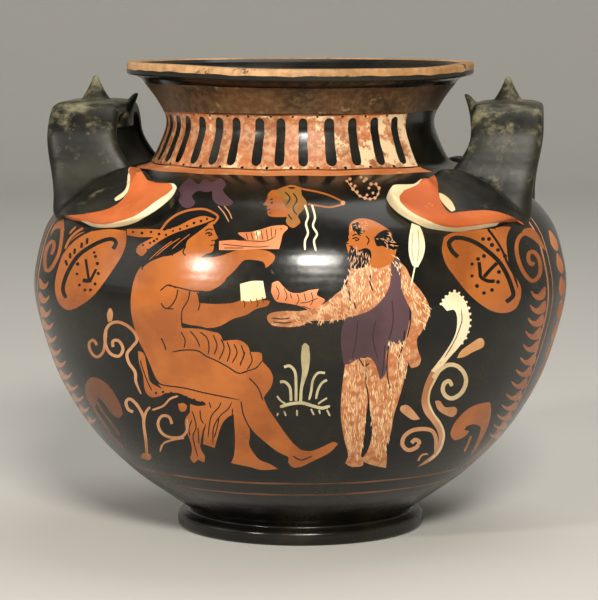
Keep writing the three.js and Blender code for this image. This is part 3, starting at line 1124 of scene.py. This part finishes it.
def meshFrom(name, points, faces, facePaints):
    mesh = bpy.data.meshes.new(name)
    mesh.from_pydata((np.array(points, float) * metre).tolist(), [], faces)
    for paint in facePaints:
        if paint not in paintNumbers:
            paintNumbers[paint] = len(paintNumbers)
    used = sorted(set(facePaints), key=paintNumbers.get)
    for paint in used:
        mesh.materials.append(paintMaterial(paint))
    mesh.polygons.foreach_set("material_index", [used.index(paint) for paint in facePaints])
    mesh.polygons.foreach_set("use_smooth", [True] * len(mesh.polygons))
    mesh.update()
    piece = bpy.data.objects.new(name, mesh)
    bpy.context.scene.collection.objects.link(piece)
    return piece


# finishes: node trees written as arithmetic on their sockets
class Signal:
    def __init__(self, tree, socket):
        self.tree = tree
        self.socket = socket

    def __add__(self, other):
        return mathNode(self.tree, "ADD", self, other)

    def __radd__(self, other):
        return mathNode(self.tree, "ADD", other, self)

    def __sub__(self, other):
        return mathNode(self.tree, "SUBTRACT", self, other)

    def __rsub__(self, other):
        return mathNode(self.tree, "SUBTRACT", other, self)

    def __mul__(self, other):
        return mathNode(self.tree, "MULTIPLY", self, other)

    def __rmul__(self, other):
        return mathNode(self.tree, "MULTIPLY", other, self)

    def __truediv__(self, other):
        return mathNode(self.tree, "DIVIDE", self, other)

    def between(self, low, high):
        # 0 below low, 1 above high
        inputs = {0: self, 1: low, 2: high}
        node = addNode(self.tree, "ShaderNodeMapRange", {"interpolation_type": "SMOOTHSTEP"}, inputs)
        return Signal(self.tree, node.outputs[0])


def plug(tree, slot, value):
    if isinstance(value, Signal):
        tree.links.new(value.socket, slot)
    else:
        slot.default_value = value


def addNode(tree, kind, settings=None, inputs=None):
    node = tree.nodes.new(kind)
    for name, value in (settings or {}).items():
        setattr(node, name, value)
    for name, value in (inputs or {}).items():
        plug(tree, node.inputs[name], value)
    return node


def mathNode(tree, operation, *values):
    node = addNode(tree, "ShaderNodeMath", {"operation": operation}, dict(enumerate(values)))
    return Signal(tree, node.outputs[0])


def colorMix(tree, share, low, high):
    inputs = {0: share, 6: low, 7: high}
    return Signal(tree, addNode(tree, "ShaderNodeMix", {"data_type": "RGBA"}, inputs).outputs[2])


def tone(red, green, blue):
    # a colour given as 0-255 screen values
    def linear(value):
        value /= 255
        return value / 12.92 if value <= 0.04045 else ((value + 0.055) / 1.055) ** 2.4

    return (linear(red), linear(green), linear(blue), 1)


# each paint: its colour, what it fades and wears to, how glossy it is
finishes = {
    "gloss": {
        "color": (15, 14, 11), "faded": (30, 27, 19), "worn": (96, 70, 44),
        "wear": 0.03, "rough": 0.19, "shine": 0.36,
    },
    "clay": {
        "color": (174, 98, 40), "faded": (144, 76, 26), "worn": (214, 150, 96),
        "wear": 0.04, "rough": 0.19,
    },
    "hairy": {
        "color": (176, 104, 56), "faded": (150, 88, 46), "worn": (214, 164, 118),
        "wear": 0.3, "rough": 0.46, "grain": 0.5,
    },
    "tuft": {
        "color": (226, 196, 150), "faded": (198, 152, 106), "worn": (176, 112, 64),
        "wear": 0.2, "rough": 0.55,
    },
    "thinCream": {
        "color": (196, 184, 144), "faded": (142, 132, 98), "worn": (86, 78, 58),
        "wear": 0.25, "rough": 0.5,
    },
    "dimCream": {
        "color": (222, 202, 162), "faded": (194, 168, 124), "worn": (160, 108, 66),
        "wear": 0.2, "rough": 0.5,
    },
    "dimClay": {
        "color": (214, 160, 104), "faded": (190, 132, 78), "worn": (232, 196, 150),
        "wear": 0.2, "rough": 0.5,
    },
    "pale": {
        "color": (196, 142, 100), "faded": (160, 104, 62), "worn": (110, 66, 36),
        "wear": 0.25, "rough": 0.5,
    },
    "rose": {
        "color": (206, 130, 78), "faded": (180, 98, 50), "worn": (232, 200, 150),
        "wear": 0.3, "rough": 0.45,
    },
    "cream": {
        "color": (238, 224, 188), "faded": (216, 190, 144), "worn": (176, 116, 70),
        "wear": 0.2, "rough": 0.55,
    },
    "purple": {
        "color": (80, 54, 60), "faded": (64, 40, 46), "worn": (170, 104, 62),
        "wear": 0.12, "rough": 0.42,
    },
    "purpleDark": {
        "color": (44, 27, 30), "faded": (38, 23, 26), "worn": (98, 64, 58),
        "wear": 0.1, "rough": 0.42,
    },
    "ochre": {
        "color": (156, 104, 40), "faded": (110, 70, 24), "worn": (190, 136, 74),
        "wear": 0.2, "rough": 0.4,
    },
    # clay darkened as painted shade, for the lower left leaf
    "brown": {
        "color": (112, 62, 28), "faded": (84, 45, 20), "worn": (150, 96, 52),
        "wear": 0.1, "rough": 0.3,
    },
    "brownLine": {
        "color": (128, 72, 36), "faded": (84, 46, 24), "worn": (44, 30, 20),
        "wear": 0.3, "rough": 0.32,
    },
    "neckBand": {
        "color": (54, 40, 23), "faded": (92, 62, 34), "worn": (136, 108, 70),
        "wear": 0.3, "rough": 0.44, "grain": 0.28,
    },
    "tan": {
        "color": (200, 154, 106), "faded": (160, 116, 66), "worn": (84, 58, 30),
        "wear": 0.36, "rough": 0.5, "grain": 0.3,
    },
    "tongueGround": {
        "color": (182, 106, 56), "faded": (136, 78, 40), "worn": (222, 192, 150), "wear": 0.5,
        "rough": 0.45, "lean": 1.25, "grain": 0.35,
    },
    "bare": {
        "color": (178, 112, 66), "faded": (154, 92, 48), "worn": (206, 160, 112),
        "wear": 0.2, "rough": 0.75,
    },
}


def speckle(tree, place, scale, detail, roughness=0.6):
    inputs = {"Vector": place, "Scale": scale, "Detail": detail, "Roughness": roughness}
    return Signal(tree, addNode(tree, "ShaderNodeTexNoise", {}, inputs).outputs[0])


def surfaceOf(tree, place, finish):
    # colour and roughness of one paint, mottled and worn
    clouds = speckle(tree, place, 22, 4)
    grains = speckle(tree, place, 260, 5)
    flakes = speckle(tree, place, 75, 8, 0.72)
    color = colorMix(tree, clouds.between(0.38, 0.66), tone(*finish["color"]), tone(*finish["faded"]))
    if "grain" in finish:
        color = colorMix(tree, finish["grain"] * grains.between(0.42, 0.62), color, tone(*finish["worn"]))
    if "lean" in finish:
        # worn most towards the right
        split = addNode(tree, "ShaderNodeSeparateXYZ", {}, {0: place})
        flakes = flakes + finish["lean"] * Signal(tree, split.outputs[0])
    edge = 0.72 - 0.3 * finish["wear"]
    worn = flakes.between(edge - 0.03, edge + 0.03)
    color = colorMix(tree, worn, color, tone(*finish["worn"]))
    rough = finish["rough"] + 0.1 * clouds.between(0.35, 0.7) + 0.25 * worn + 0.12 * (grains - 0.5)
    return color, rough, worn


def paintMaterial(paint):
    if paint in bpy.data.materials:
        return bpy.data.materials[paint]
    finish = finishes[paint]
    material = bpy.data.materials.new(paint)
    material.use_nodes = True
    tree = material.node_tree
    shader = tree.nodes["Principled BSDF"]
    place = Signal(tree, addNode(tree, "ShaderNodeTexCoord").outputs["Object"])
    color, rough, worn = surfaceOf(tree, place, finish)
    bump = bumpOf(tree, place, worn)
    plug(tree, shader.inputs["Base Color"], color)
    plug(tree, shader.inputs["Roughness"], rough)
    plug(tree, shader.inputs["Specular IOR Level"], finish.get("shine", 0.5))
    plug(tree, shader.inputs["Normal"], bump)
    return material


def bumpOf(tree, place, worn, unevenness=0.00025):
    # faint turning marks, a hand-smoothed unevenness and the edges of worn spots
    split = addNode(tree, "ShaderNodeSeparateXYZ", {}, {0: place})
    height = Signal(tree, split.outputs[2])
    swell = speckle(tree, place, 14, 2)
    turning = mathNode(tree, "SINE", height * 1250 + 5 * swell)
    uneven = speckle(tree, place, 38, 3)
    fine = speckle(tree, place, 420, 4)
    total = 0.00002 * turning * swell + unevenness * uneven + 0.00002 * fine - 0.00006 * worn
    node = addNode(tree, "ShaderNodeBump", {}, {"Strength": 0.8, "Distance": 1.0, "Height": total})
    return Signal(tree, node.outputs[0])


def settled(points):
    # the rim sags a little at the front right, as it came out of the kiln
    angle = np.degrees(np.arctan2(points[:, 0], -points[:, 1]))
    around = np.interp(angle, jar["sagAngles"], [0, 1, 1, 0])
    above = np.interp(points[:, 2], jar["sagHeights"], [0, 1])
    share = around * around * (3 - 2 * around) * above * above * (3 - 2 * above)
    return points - np.outer(share, [0, 0, jar["sag"]])


def turnedJar():
    first = rings["seam"] - 360
    points, faces, facePaints = skinPoints.tolist(), list(skinFaces), list(skinPaints)
    for profile, paint in ((insideProfile(), "gloss"), (jar["recess"], "bare")):
        morePoints, moreFaces, morePaints = turnedSkin(profile, paint, first)
        offset = len(points)
        points += morePoints
        faces += [tuple(offset + k for k in face[::-1]) for face in moreFaces]
        facePaints += morePaints
    piece = meshFrom("stamnos_jar", settled(np.array(points)), faces, facePaints)
    mesh = piece.data
    # normals straight from the profile, so that the painted outlines don't disturb the shine
    found = np.array([v.normal[:] for v in mesh.vertices])
    found[: len(skinSpots)] = normalOnJar(skinSpots[:, 0], skinSpots[:, 1])
    mesh.normals_split_custom_set_from_vertices(found.tolist())
    return piece


jarPiece = turnedJar()
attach(jarPiece, "root")
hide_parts("stamnos")
print("turned jar:", len(jarPiece.data.polygons), "faces")


# the handles: a strap that bridges from front to rear, a spur and a cusp on it, and a flange at each root
handle = {
    "strapTop": 275.5,
    "strapThickness": 11,
    "strapHalfSpan": 48,
    "strapInner": 111.5,
    "strapOuter": 155.5,
    "squareness": 3.4,
    "ringPoints": 48,
    "stations": 90,
    "rootBottom": 192,
    "rootHalfSpan": 61,
    "rootInner": 91,
    "rootOuter": 150,
    "rootThickness": 24,
    "rootTuck": 9,
    "spurRadius": 133.2,
    "spurTop": 291,
    "spurHalfWidth": 11.5,
    "spurHalfDepth": 13,
    "spurHollow": 1.45,
    "hornTip": 1.9,
    "cuspRadius": 106.2,
    "cuspTop": 280,
    "cuspBase": (121, 258),
    "cuspHalfWidth": 11.5,
    "cuspHalfDepth": 26,
    "cuspHollow": 1.5,
    "voxel": 0.95,
    "smoothing": 5,
    "sunk": 2.6,
}
flange = {
    "tip": 61.4,
    "end": 20.3,
    "edge": 159,
    "rise": 7.5,
    "dip": 5.2,
    "foldRise": {"right": 3, "left": 7},
    "reachOut": {"right": 0.4, "left": 2.6},
    "foldAt": 3 / 7,
    "foldHalfWidth": 0.055,
    "sunk": 3,
    "steps": 80,
    "rows": 36,
    "root": [
        (60.4, 133), (58, 131), (54.5, 130.5), (50.5, 129), (44, 122), (33.5, 114), (26.5, 134),
        (20.3, 154),
    ],
    "lip": [
        (61.6, 137), (61.4, 147), (57.4, 155.6), (49.5, 159.4), (43, 159.3), (36.5, 158.6), (28.5, 157.6),
        (20.3, 158.4),
    ],
}


shoulderLine = [p for p in bodyLine if p[1] >= 155][::-1]
shoulderRadii = [p[0] for p in shoulderLine]
shoulderHeights = [p[1] for p in shoulderLine]


def shoulderHeight(radius):
    return float(np.interp(radius, shoulderRadii, shoulderHeights))


def loftFaces(ringCount, pointCount):
    faces = []
    for row in range(ringCount - 1):
        for k in range(pointCount):
            a, b = row * pointCount + k, row * pointCount + (k + 1) % pointCount
            faces.append((a, b, b + pointCount, a + pointCount))
    faces.append(tuple(range(pointCount))[::-1])
    faces.append(tuple((ringCount - 1) * pointCount + k for k in range(pointCount)))
    return faces


def archPoints():
    h = handle
    middle, span = h["strapTop"] - h["strapThickness"] / 2, h["strapHalfSpan"]
    half = [
        (h["rootHalfSpan"], h["rootBottom"]), (span + 9, h["rootBottom"] + 23), (span + 6, middle - 37),
        (span + 3.5, middle - 24), (span, middle - 13), (span - 8.5, middle - 3.8), (span - 20, middle - 0.4),
    ]
    whole = half + [(0, middle)] + [(-x, z) for x, z in half[::-1]]
    dense = smoothThrough(whole, 1)
    distance = np.concatenate([[0], np.cumsum([math.dist(a, b) for a, b in zip(dense, dense[1:])])])
    evenly = np.linspace(0, distance[-1], h["stations"])
    xs = np.interp(evenly, distance, [p[0] for p in dense])
    zs = np.interp(evenly, distance, [p[1] for p in dense])
    return xs, zs


def strapPart():
    h = handle
    xs, zs = archPoints()
    middle = h["strapTop"] - h["strapThickness"] / 2
    points = []
    for x, z, alongX, alongZ in zip(xs, zs, np.gradient(xs), np.gradient(zs)):
        length = math.hypot(alongX, alongZ)
        alongX, alongZ = alongX / length, alongZ / length
        spread = 1 - smoothstep(z, h["rootBottom"] + 22, middle - 14)
        flare = 1 - smoothstep(z, h["rootBottom"] + 14, middle - 34)
        inner = mix(h["strapInner"], h["rootInner"], spread)
        tuck = h["rootTuck"] * (1 - smoothstep(z, h["rootBottom"], 207))
        outer = mix(h["strapOuter"], h["rootOuter"], spread) - tuck
        halfThickness = mix(h["strapThickness"], h["rootThickness"], flare) / 2
        for k in range(h["ringPoints"]):
            angle = 2 * math.pi * (k + 0.5) / h["ringPoints"]
            across = math.copysign(abs(math.cos(angle)) ** (2 / h["squareness"]), math.cos(angle))
            through = math.copysign(abs(math.sin(angle)) ** (2 / h["squareness"]), math.sin(angle))
            points.append((
                (inner + outer) / 2 + across * (outer - inner) / 2,
                -(x + through * halfThickness * alongZ),
                z - through * halfThickness * alongX,
            ))
    return points, loftFaces(h["stations"], h["ringPoints"])


def hornPart(base, tip, halfWidth, halfDepth, hollow):
    # hollow flanks from a wide base to a small rounded tip
    rings, count, steps = [], 32, 26
    for step in range(-1, steps):
        rise = step / (steps - 1)
        slim = 0.4 if step < 0 else (1 - rise) ** hollow
        rounding = math.sqrt(max(0.02, 1 - smoothstep(rise, 0.9, 1.03))) if rise > 0.9 else 1
        for k in range(count):
            angle = 2 * math.pi * k / count
            wide = mix(handle["hornTip"], halfWidth, slim) * rounding
            rings.append((
                mix(base[0], tip[0], rise) + wide * math.cos(angle),
                mix(handle["hornTip"], halfDepth, slim) * rounding * math.sin(angle),
                mix(base[1], tip[1], rise),
            ))
    return rings, loftFaces(steps + 1, count)


def flangeHeight(along, across, foldRise):
    f = flange
    ends = smoothstep(along, -0.04, 0.1) * (1 - 0.8 * smoothstep(along, 0.75, 1))
    bowl = mix(f["rise"], f["dip"], math.sin(math.pi * min(1, across / 0.94)))
    edge = mix(0.5, 1, smoothstep(across, 0, 0.15)) * mix(1, 0.72, smoothstep(across, 0.94, 1))
    fold = math.exp(-(((along - f["foldAt"]) / f["foldHalfWidth"]) ** 2))
    return ends * edge * bowl + foldRise * fold * (1 - smoothstep(across, 0.05, 0.75)) + 0.6


def flangePart(end, hand):
    f = flange
    points = []
    across = [(row / f["rows"], True) for row in range(f["rows"] + 1)]
    across += [(row / f["rows"], False) for row in range(f["rows"], -1, -4)]
    for step in range(f["steps"] + 1):
        at = step / f["steps"]
        root, lip = splineAt(f["root"], at), splineAt(f["lip"], at)
        for share, upper in across:
            turned = mix(root[0], lip[0], share)
            angle = math.radians(turned + f["reachOut"][hand] * smoothstep(turned, 46, 61))
            radius = mix(root[1], lip[1], share)
            slope = (shoulderHeight(radius - 1) - shoulderHeight(radius + 1)) / 2
            offset = flangeHeight(at, share, f["foldRise"][hand]) if upper else -f["sunk"]
            outward = radius + offset * slope / math.hypot(1, slope)
            points.append((
                outward * math.cos(angle),
                -end * outward * math.sin(angle),
                shoulderHeight(radius) + offset / math.hypot(1, slope),
            ))
    return points, loftFaces(f["steps"] + 1, len(across))


def joinedHandle(hand):
    # the parts melted into one skin, so that they flow into each other like wet clay
    h = handle
    spur = hornPart(
        (h["spurRadius"], h["strapTop"] - 3), (h["spurRadius"], h["spurTop"]),
        h["spurHalfWidth"], h["spurHalfDepth"], h["spurHollow"],
    )
    cusp = hornPart(
        h["cuspBase"], (h["cuspRadius"], h["cuspTop"]),
        h["cuspHalfWidth"], h["cuspHalfDepth"], h["cuspHollow"],
    )
    points, faces = [], []
    for partPoints, partFaces in (strapPart(), spur, cusp, flangePart(1, hand), flangePart(-1, hand)):
        offset = len(points)
        points += partPoints
        faces += [tuple(offset + k for k in face) for face in partFaces]
    mesh = bpy.data.meshes.new("handle_parts")
    mesh.from_pydata((np.array(points) * metre).tolist(), [], faces)
    rough = bpy.data.objects.new("handle_parts", mesh)
    bpy.context.scene.collection.objects.link(rough)
    melt = rough.modifiers.new("melt", "REMESH")
    melt.mode = "VOXEL"
    melt.voxel_size = h["voxel"] * metre
    ease = rough.modifiers.new("ease", "SMOOTH")
    ease.factor = 0.5
    ease.iterations = h["smoothing"]
    graph = bpy.context.evaluated_depsgraph_get()
    done = bpy.data.meshes.new_from_object(rough.evaluated_get(graph))
    bpy.data.objects.remove(rough)
    places = np.empty(len(done.vertices) * 3)
    done.vertices.foreach_get("co", places)
    corners = [tuple(p.vertices) for p in done.polygons]
    return places.reshape(-1, 3) / metre, corners


def kept(points):
    # what reaches deep into the wall is drawn back to just under the jar's surface
    tree = KDTree(len(outline))
    for i, (radius, height) in enumerate(outline):
        tree.insert((radius, height, 0), i)
    tree.balance()
    moved = points.copy()
    standoff = np.full(len(points), 99.0)
    radii = np.hypot(points[:, 0], points[:, 1])
    for k in np.nonzero(points[:, 2] < 240)[0]:
        near, i, distance = tree.find((radii[k], points[k, 2], 0))
        normal = (slopeHeight[i], -slopeRadius[i])
        length = math.hypot(*normal) or 1
        depth = ((near[0] - radii[k]) * normal[0] + (near[1] - points[k, 2]) * normal[1]) / length
        standoff[k] = -depth
        if depth > handle["sunk"]:
            radius = near[0] - handle["sunk"] * normal[0] / length
            moved[k, :2] *= radius / radii[k]
            moved[k, 2] = near[1] - handle["sunk"] * normal[1] / length
    return moved, standoff


def signedDistance(points, loop):
    # millimetres to a closed line, positive inside
    nearest = np.full(len(points), 1e9)
    odd = np.zeros(len(points), bool)
    x, y = points[:, 0], points[:, 1]
    for (ax, ay), (bx, by) in zip(loop, loop[1:] + loop[:1]):
        dx, dy = bx - ax, by - ay
        share = np.clip(((x - ax) * dx + (y - ay) * dy) / (dx * dx + dy * dy + 1e-12), 0, 1)
        nearest = np.minimum(nearest, np.hypot(x - ax - share * dx, y - ay - share * dy))
        if ay != by:
            odd ^= ((ay > y) != (by > y)) & (x < ax + (y - ay) / (by - ay) * dx)
    return np.where(odd, nearest, -nearest)


# the painted areas of the two front flanges, as points of the photograph; the rear ones mirror them
flangePaint = {
    "scale": 0.64,
    "highest": 13.2,
    "right": {
        "white": """
            382,190 389,182 402,180 414,181 425,178 432,181 436,190 438,198 441,205 450,214 470,212
            490,213 500,219 496,226 486,231 468,236 450,238 434,231.5 421,225.5 406,218 396.5,211.5
            388.5,203
        """,
        "orange": """
            399.5,196 404,190.5 411,187.5 418,184 425,176 434,175 437.5,183 438.5,193 441.5,203
            449,212.5 458,212 475,210.5 490,210.5 505,214 520,221 531,231 529,232 520,227.5 508,222
            497,222.8 487,224 475,225.8 462,227.4 450,227.2 437.5,224.5 425,219 413,213 404.5,206.5
            400,201
        """,
        "stroke": """
            438.8,192.5 443,194 448.5,198 453,203.5 455.3,210 452,211.7 447.5,208 443,203 439.8,198
        """,
    },
    "left": {
        "white": """
            176.8,188 174.8,183 167,179.6 158,179.6 152,182.5 144,178 137,168 129,168 129,182 127,193
            121,201 110,209 95,213 80,219 86,223.6 95.6,227.4 112,227.4 125.6,225.6 135.6,222.2
            145.6,216.7 155.6,210.6 164.4,203.9 172.4,196.5
        """,
        "orange": """
            173,188 171.5,184.2 165.5,182 155,181.5 148,180.5 144.8,176 141.5,170.5 137,165 131,166
            128.5,174 129.5,183 127.5,192 121.5,200.5 114,206 104,210 92,212.5 80,214.5 67,215.5 64,218
            73,220.5 85,221.2 95.6,223.9 107.8,223.9 117.8,221.7 126.7,218.9 135.6,215.6 144.4,210
            152.2,203.9 160,198.3 167.8,193.3
        """,
        "stroke": """
            114.3,198.5 117,196.3 121.5,193.3 125.2,189.5 127,184 127.6,175 129,172 130.2,176 129.6,184
            127.8,191 124.3,196 119.5,199.6 115.2,201
        """,
    },
}


def seenAt(points):
    # where the photograph shows each place
    turn = math.radians(view["turn"])
    tilt = view["tilt"]
    forward = np.array([-math.sin(turn), math.cos(turn), 0])
    sideways = np.array([math.cos(turn), math.sin(turn), 0])
    away = points - [view["distance"] * math.sin(turn), -view["distance"] * math.cos(turn), view["eyeHeight"]]
    ahead = away @ forward * math.cos(tilt) - away[:, 2] * math.sin(tilt)
    upward = away @ forward * math.sin(tilt) + away[:, 2] * math.cos(tilt)
    across = view["focal"] * (away @ sideways) / ahead
    return np.stack([view["centerX"] + across, view["centerY"] - view["focal"] * upward / ahead], axis=1)


def flangeFields(points, standoff, hand):
    side = 1 if hand == "right" else -1
    pixels = seenAt(np.stack([side * points[:, 0], -np.abs(points[:, 1]), points[:, 2]], axis=1))
    onFlange = np.clip(flangePaint["highest"] - standoff, -5, 5)
    fields = {}
    for name, loop in flangePaint[hand].items():
        edge = pointsOf(loop)[0]
        dense = smoothThrough(edge + edge[:1], 3)[:-1]
        fields[name] = np.minimum(signedDistance(pixels, dense) * flangePaint["scale"], onFlange)
    return fields


def handleMaterial():
    # black gloss rubbed brown along the top, with the flanges' painted areas over it
    material = bpy.data.materials.new("handle")
    material.use_nodes = True
    tree = material.node_tree
    shader = tree.nodes["Principled BSDF"]
    place = Signal(tree, addNode(tree, "ShaderNodeTexCoord").outputs["Object"])
    color, rough, worn = surfaceOf(tree, place, finishes["handleGloss"])
    height = Signal(tree, addNode(tree, "ShaderNodeSeparateXYZ", {}, {0: place}).outputs[2])
    rubbing = speckle(tree, place, 58, 9, 0.7) + 0.17 * height.between(0.225, 0.29)
    rubbed = rubbing.between(0.56, 0.82)
    color = colorMix(tree, rubbed * 0.9, color, tone(134, 128, 98))
    rough = rough + 0.24 * rubbed
    ragged = 0.5 * (speckle(tree, place, 150, 4) - 0.5)
    for name, paint in (("white", "cream"), ("orange", "flangeClay"), ("stroke", "cream")):
        field = Signal(tree, addNode(tree, "ShaderNodeAttribute", {"attribute_name": name}).outputs["Fac"])
        share = (field + ragged).between(-0.2, 0.2)
        over, overRough, overWorn = surfaceOf(tree, place, finishes[paint])
        color = colorMix(tree, share, color, over)
        rough = rough + share * (overRough - rough)
    plug(tree, shader.inputs["Base Color"], color)
    plug(tree, shader.inputs["Roughness"], rough)
    plug(tree, shader.inputs["Specular IOR Level"], finishes["handleGloss"]["shine"])
    plug(tree, shader.inputs["Normal"], bumpOf(tree, place, worn, 0.0006))
    return material


finishes["handleGloss"] = {
    "color": (18, 18, 14), "faded": (44, 42, 30), "worn": (92, 86, 60),
    "wear": 0.14, "rough": 0.38, "shine": 0.25,
}
finishes["flangeClay"] = {
    "color": (196, 104, 54), "faded": (176, 84, 38), "worn": (226, 156, 108),
    "wear": 0.12, "rough": 0.44,
}


def handlePieces():
    look = handleMaterial()
    made = []
    for hand, side in (("right", 1), ("left", -1)):
        points, faces = joinedHandle(hand)
        points, standoff = kept(points)
        fields = flangeFields(points, standoff, hand)
        name = "stamnos_handle_" + hand
        mesh = bpy.data.meshes.new(name)
        sided = points * [side, 1, 1]
        mesh.from_pydata((sided * metre).tolist(), [], [face if side > 0 else face[::-1] for face in faces])
        for fieldName, values in fields.items():
            layer = mesh.attributes.new(fieldName, "FLOAT", "POINT")
            layer.data.foreach_set("value", values.astype(np.float32))
        mesh.polygons.foreach_set("use_smooth", [True] * len(mesh.polygons))
        mesh.materials.append(look)
        mesh.update()
        piece = bpy.data.objects.new(name, mesh)
        bpy.context.scene.collection.objects.link(piece)
        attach(piece, "root")
        made.append(piece)
    return made


handles = handlePieces()
print("handles:", [len(piece.data.polygons) for piece in handles])


# a plain pale floor and backdrop, soft studio light, and the photograph's viewing angle
studio = {
    "floor": (0.56, 0.55, 0.52, 1),
    "floorRadius": 3.0,
    "coveRadius": 1.6,
    "wallTop": 5,
    "world": (0.5, 0.52, 0.55, 1),
    "worldStrength": 0.45,
}


def studioFloor():
    # a round floor that curves up into a plain wall on all sides
    flatRadius, cove, count = studio["floorRadius"], studio["coveRadius"], 96
    rows = [(flatRadius * k / 4, 0) for k in range(1, 5)]
    for k in range(1, 17):
        turn = math.pi / 2 * k / 16
        rows.append((flatRadius + cove * math.sin(turn), cove * (1 - math.cos(turn))))
    rows.append((flatRadius + cove, studio["wallTop"]))
    points = [(0, 0, 0)]
    for radius, height in rows:
        for k in range(count):
            turn = 2 * math.pi * k / count
            points.append((radius * math.cos(turn), radius * math.sin(turn), height))
    faces = [(0, 1 + k, 1 + (k + 1) % count) for k in range(count)]
    for row in range(len(rows) - 1):
        for k in range(count):
            a, b = 1 + row * count + k, 1 + row * count + (k + 1) % count
            faces.append((a, a + count, b + count, b))
    mesh = bpy.data.meshes.new("studio_floor")
    mesh.from_pydata(points, [], faces)
    mesh.polygons.foreach_set("use_smooth", [True] * len(mesh.polygons))
    material = bpy.data.materials.new("studio_floor")
    material.use_nodes = True
    shader = material.node_tree.nodes["Principled BSDF"]
    shader.inputs["Base Color"].default_value = studio["floor"]
    shader.inputs["Roughness"].default_value = 0.85
    mesh.materials.append(material)
    floor = bpy.data.objects.new("studio_floor", mesh)
    bpy.context.scene.collection.objects.link(floor)
    return floor


def softLight(name, place, target, width, height, power, color=(1, 1, 1)):
    data = bpy.data.lights.new(name, "AREA")
    data.shape = "RECTANGLE"
    data.size = width
    data.size_y = height
    data.energy = power
    data.color = color
    light = bpy.data.objects.new(name, data)
    light.location = place
    light.rotation_euler = (Vector(target) - Vector(place)).to_track_quat("-Z", "Y").to_euler()
    bpy.context.scene.collection.objects.link(light)
    return light


def studioCamera():
    data = bpy.data.cameras.new("camera")
    camera = bpy.data.objects.new("camera", data)
    turn = math.radians(view["turn"])
    distance = view["distance"] * metre
    camera.location = (distance * math.sin(turn), -distance * math.cos(turn), view["eyeHeight"] * metre)
    camera.rotation_euler = (math.pi / 2 - view["tilt"], 0, turn)
    data.sensor_fit = "HORIZONTAL"
    data.sensor_width = 36
    data.lens = view["focal"] * 36 / view["width"]
    data.shift_x = -(view["centerX"] - view["width"] / 2) / view["width"]
    bpy.context.scene.collection.objects.link(camera)
    bpy.context.scene.camera = camera
    return camera


floor = studioFloor()
studioCamera()


def mirroredFrom(angle, height, distance):
    # a light's place so that the camera sees it mirrored in the jar at this angle and height
    reach = reachOf(height)
    spot = placeOnJar(np.array([angle]), np.array([reach]))[0]
    normal = Vector(normalOnJar(np.array([angle]), np.array([reach]))[0])
    incoming = (Vector(spot) - Vector(eyePlace)).normalized()
    away = incoming.reflect(normal)
    return [(spot[k] * metre + away[k] * distance) for k in range(3)]


brightAngle, brightReach = rayHits([(316, 259), (202, 263)])
brightHeights = np.interp(brightReach, growAlong, growHeight)
middle = (0, 0, 0.17)
keyPlace = mirroredFrom(float(brightAngle[0]), float(brightHeights[0]), 3.0)
sidePlace = mirroredFrom(float(brightAngle[1]), float(brightHeights[1]), 3.0)
print("lights at", [round(v, 2) for v in keyPlace], [round(v, 2) for v in sidePlace])
softLight("key", keyPlace, middle, 0.74, 0.5, 105, (1, 0.95, 0.87))
softLight("side", sidePlace, middle, 0.3, 0.24, 34, (1, 0.94, 0.85))
softLight("fill", (-3, -0.8, 1.4), middle, 1.4, 1.8, 9)
softLight("top", (0.7, 0.8, 3.2), middle, 2.6, 1.8, 36, (1, 0.97, 0.92))
bpy.context.scene.view_settings.view_transform = "Standard"
world = bpy.data.worlds.new("studio")
world.use_nodes = True
background = world.node_tree.nodes["Background"]
background.inputs[0].default_value = studio["world"]
background.inputs[1].default_value = studio["worldStrength"]
bpy.context.scene.world = world
print("studio set")
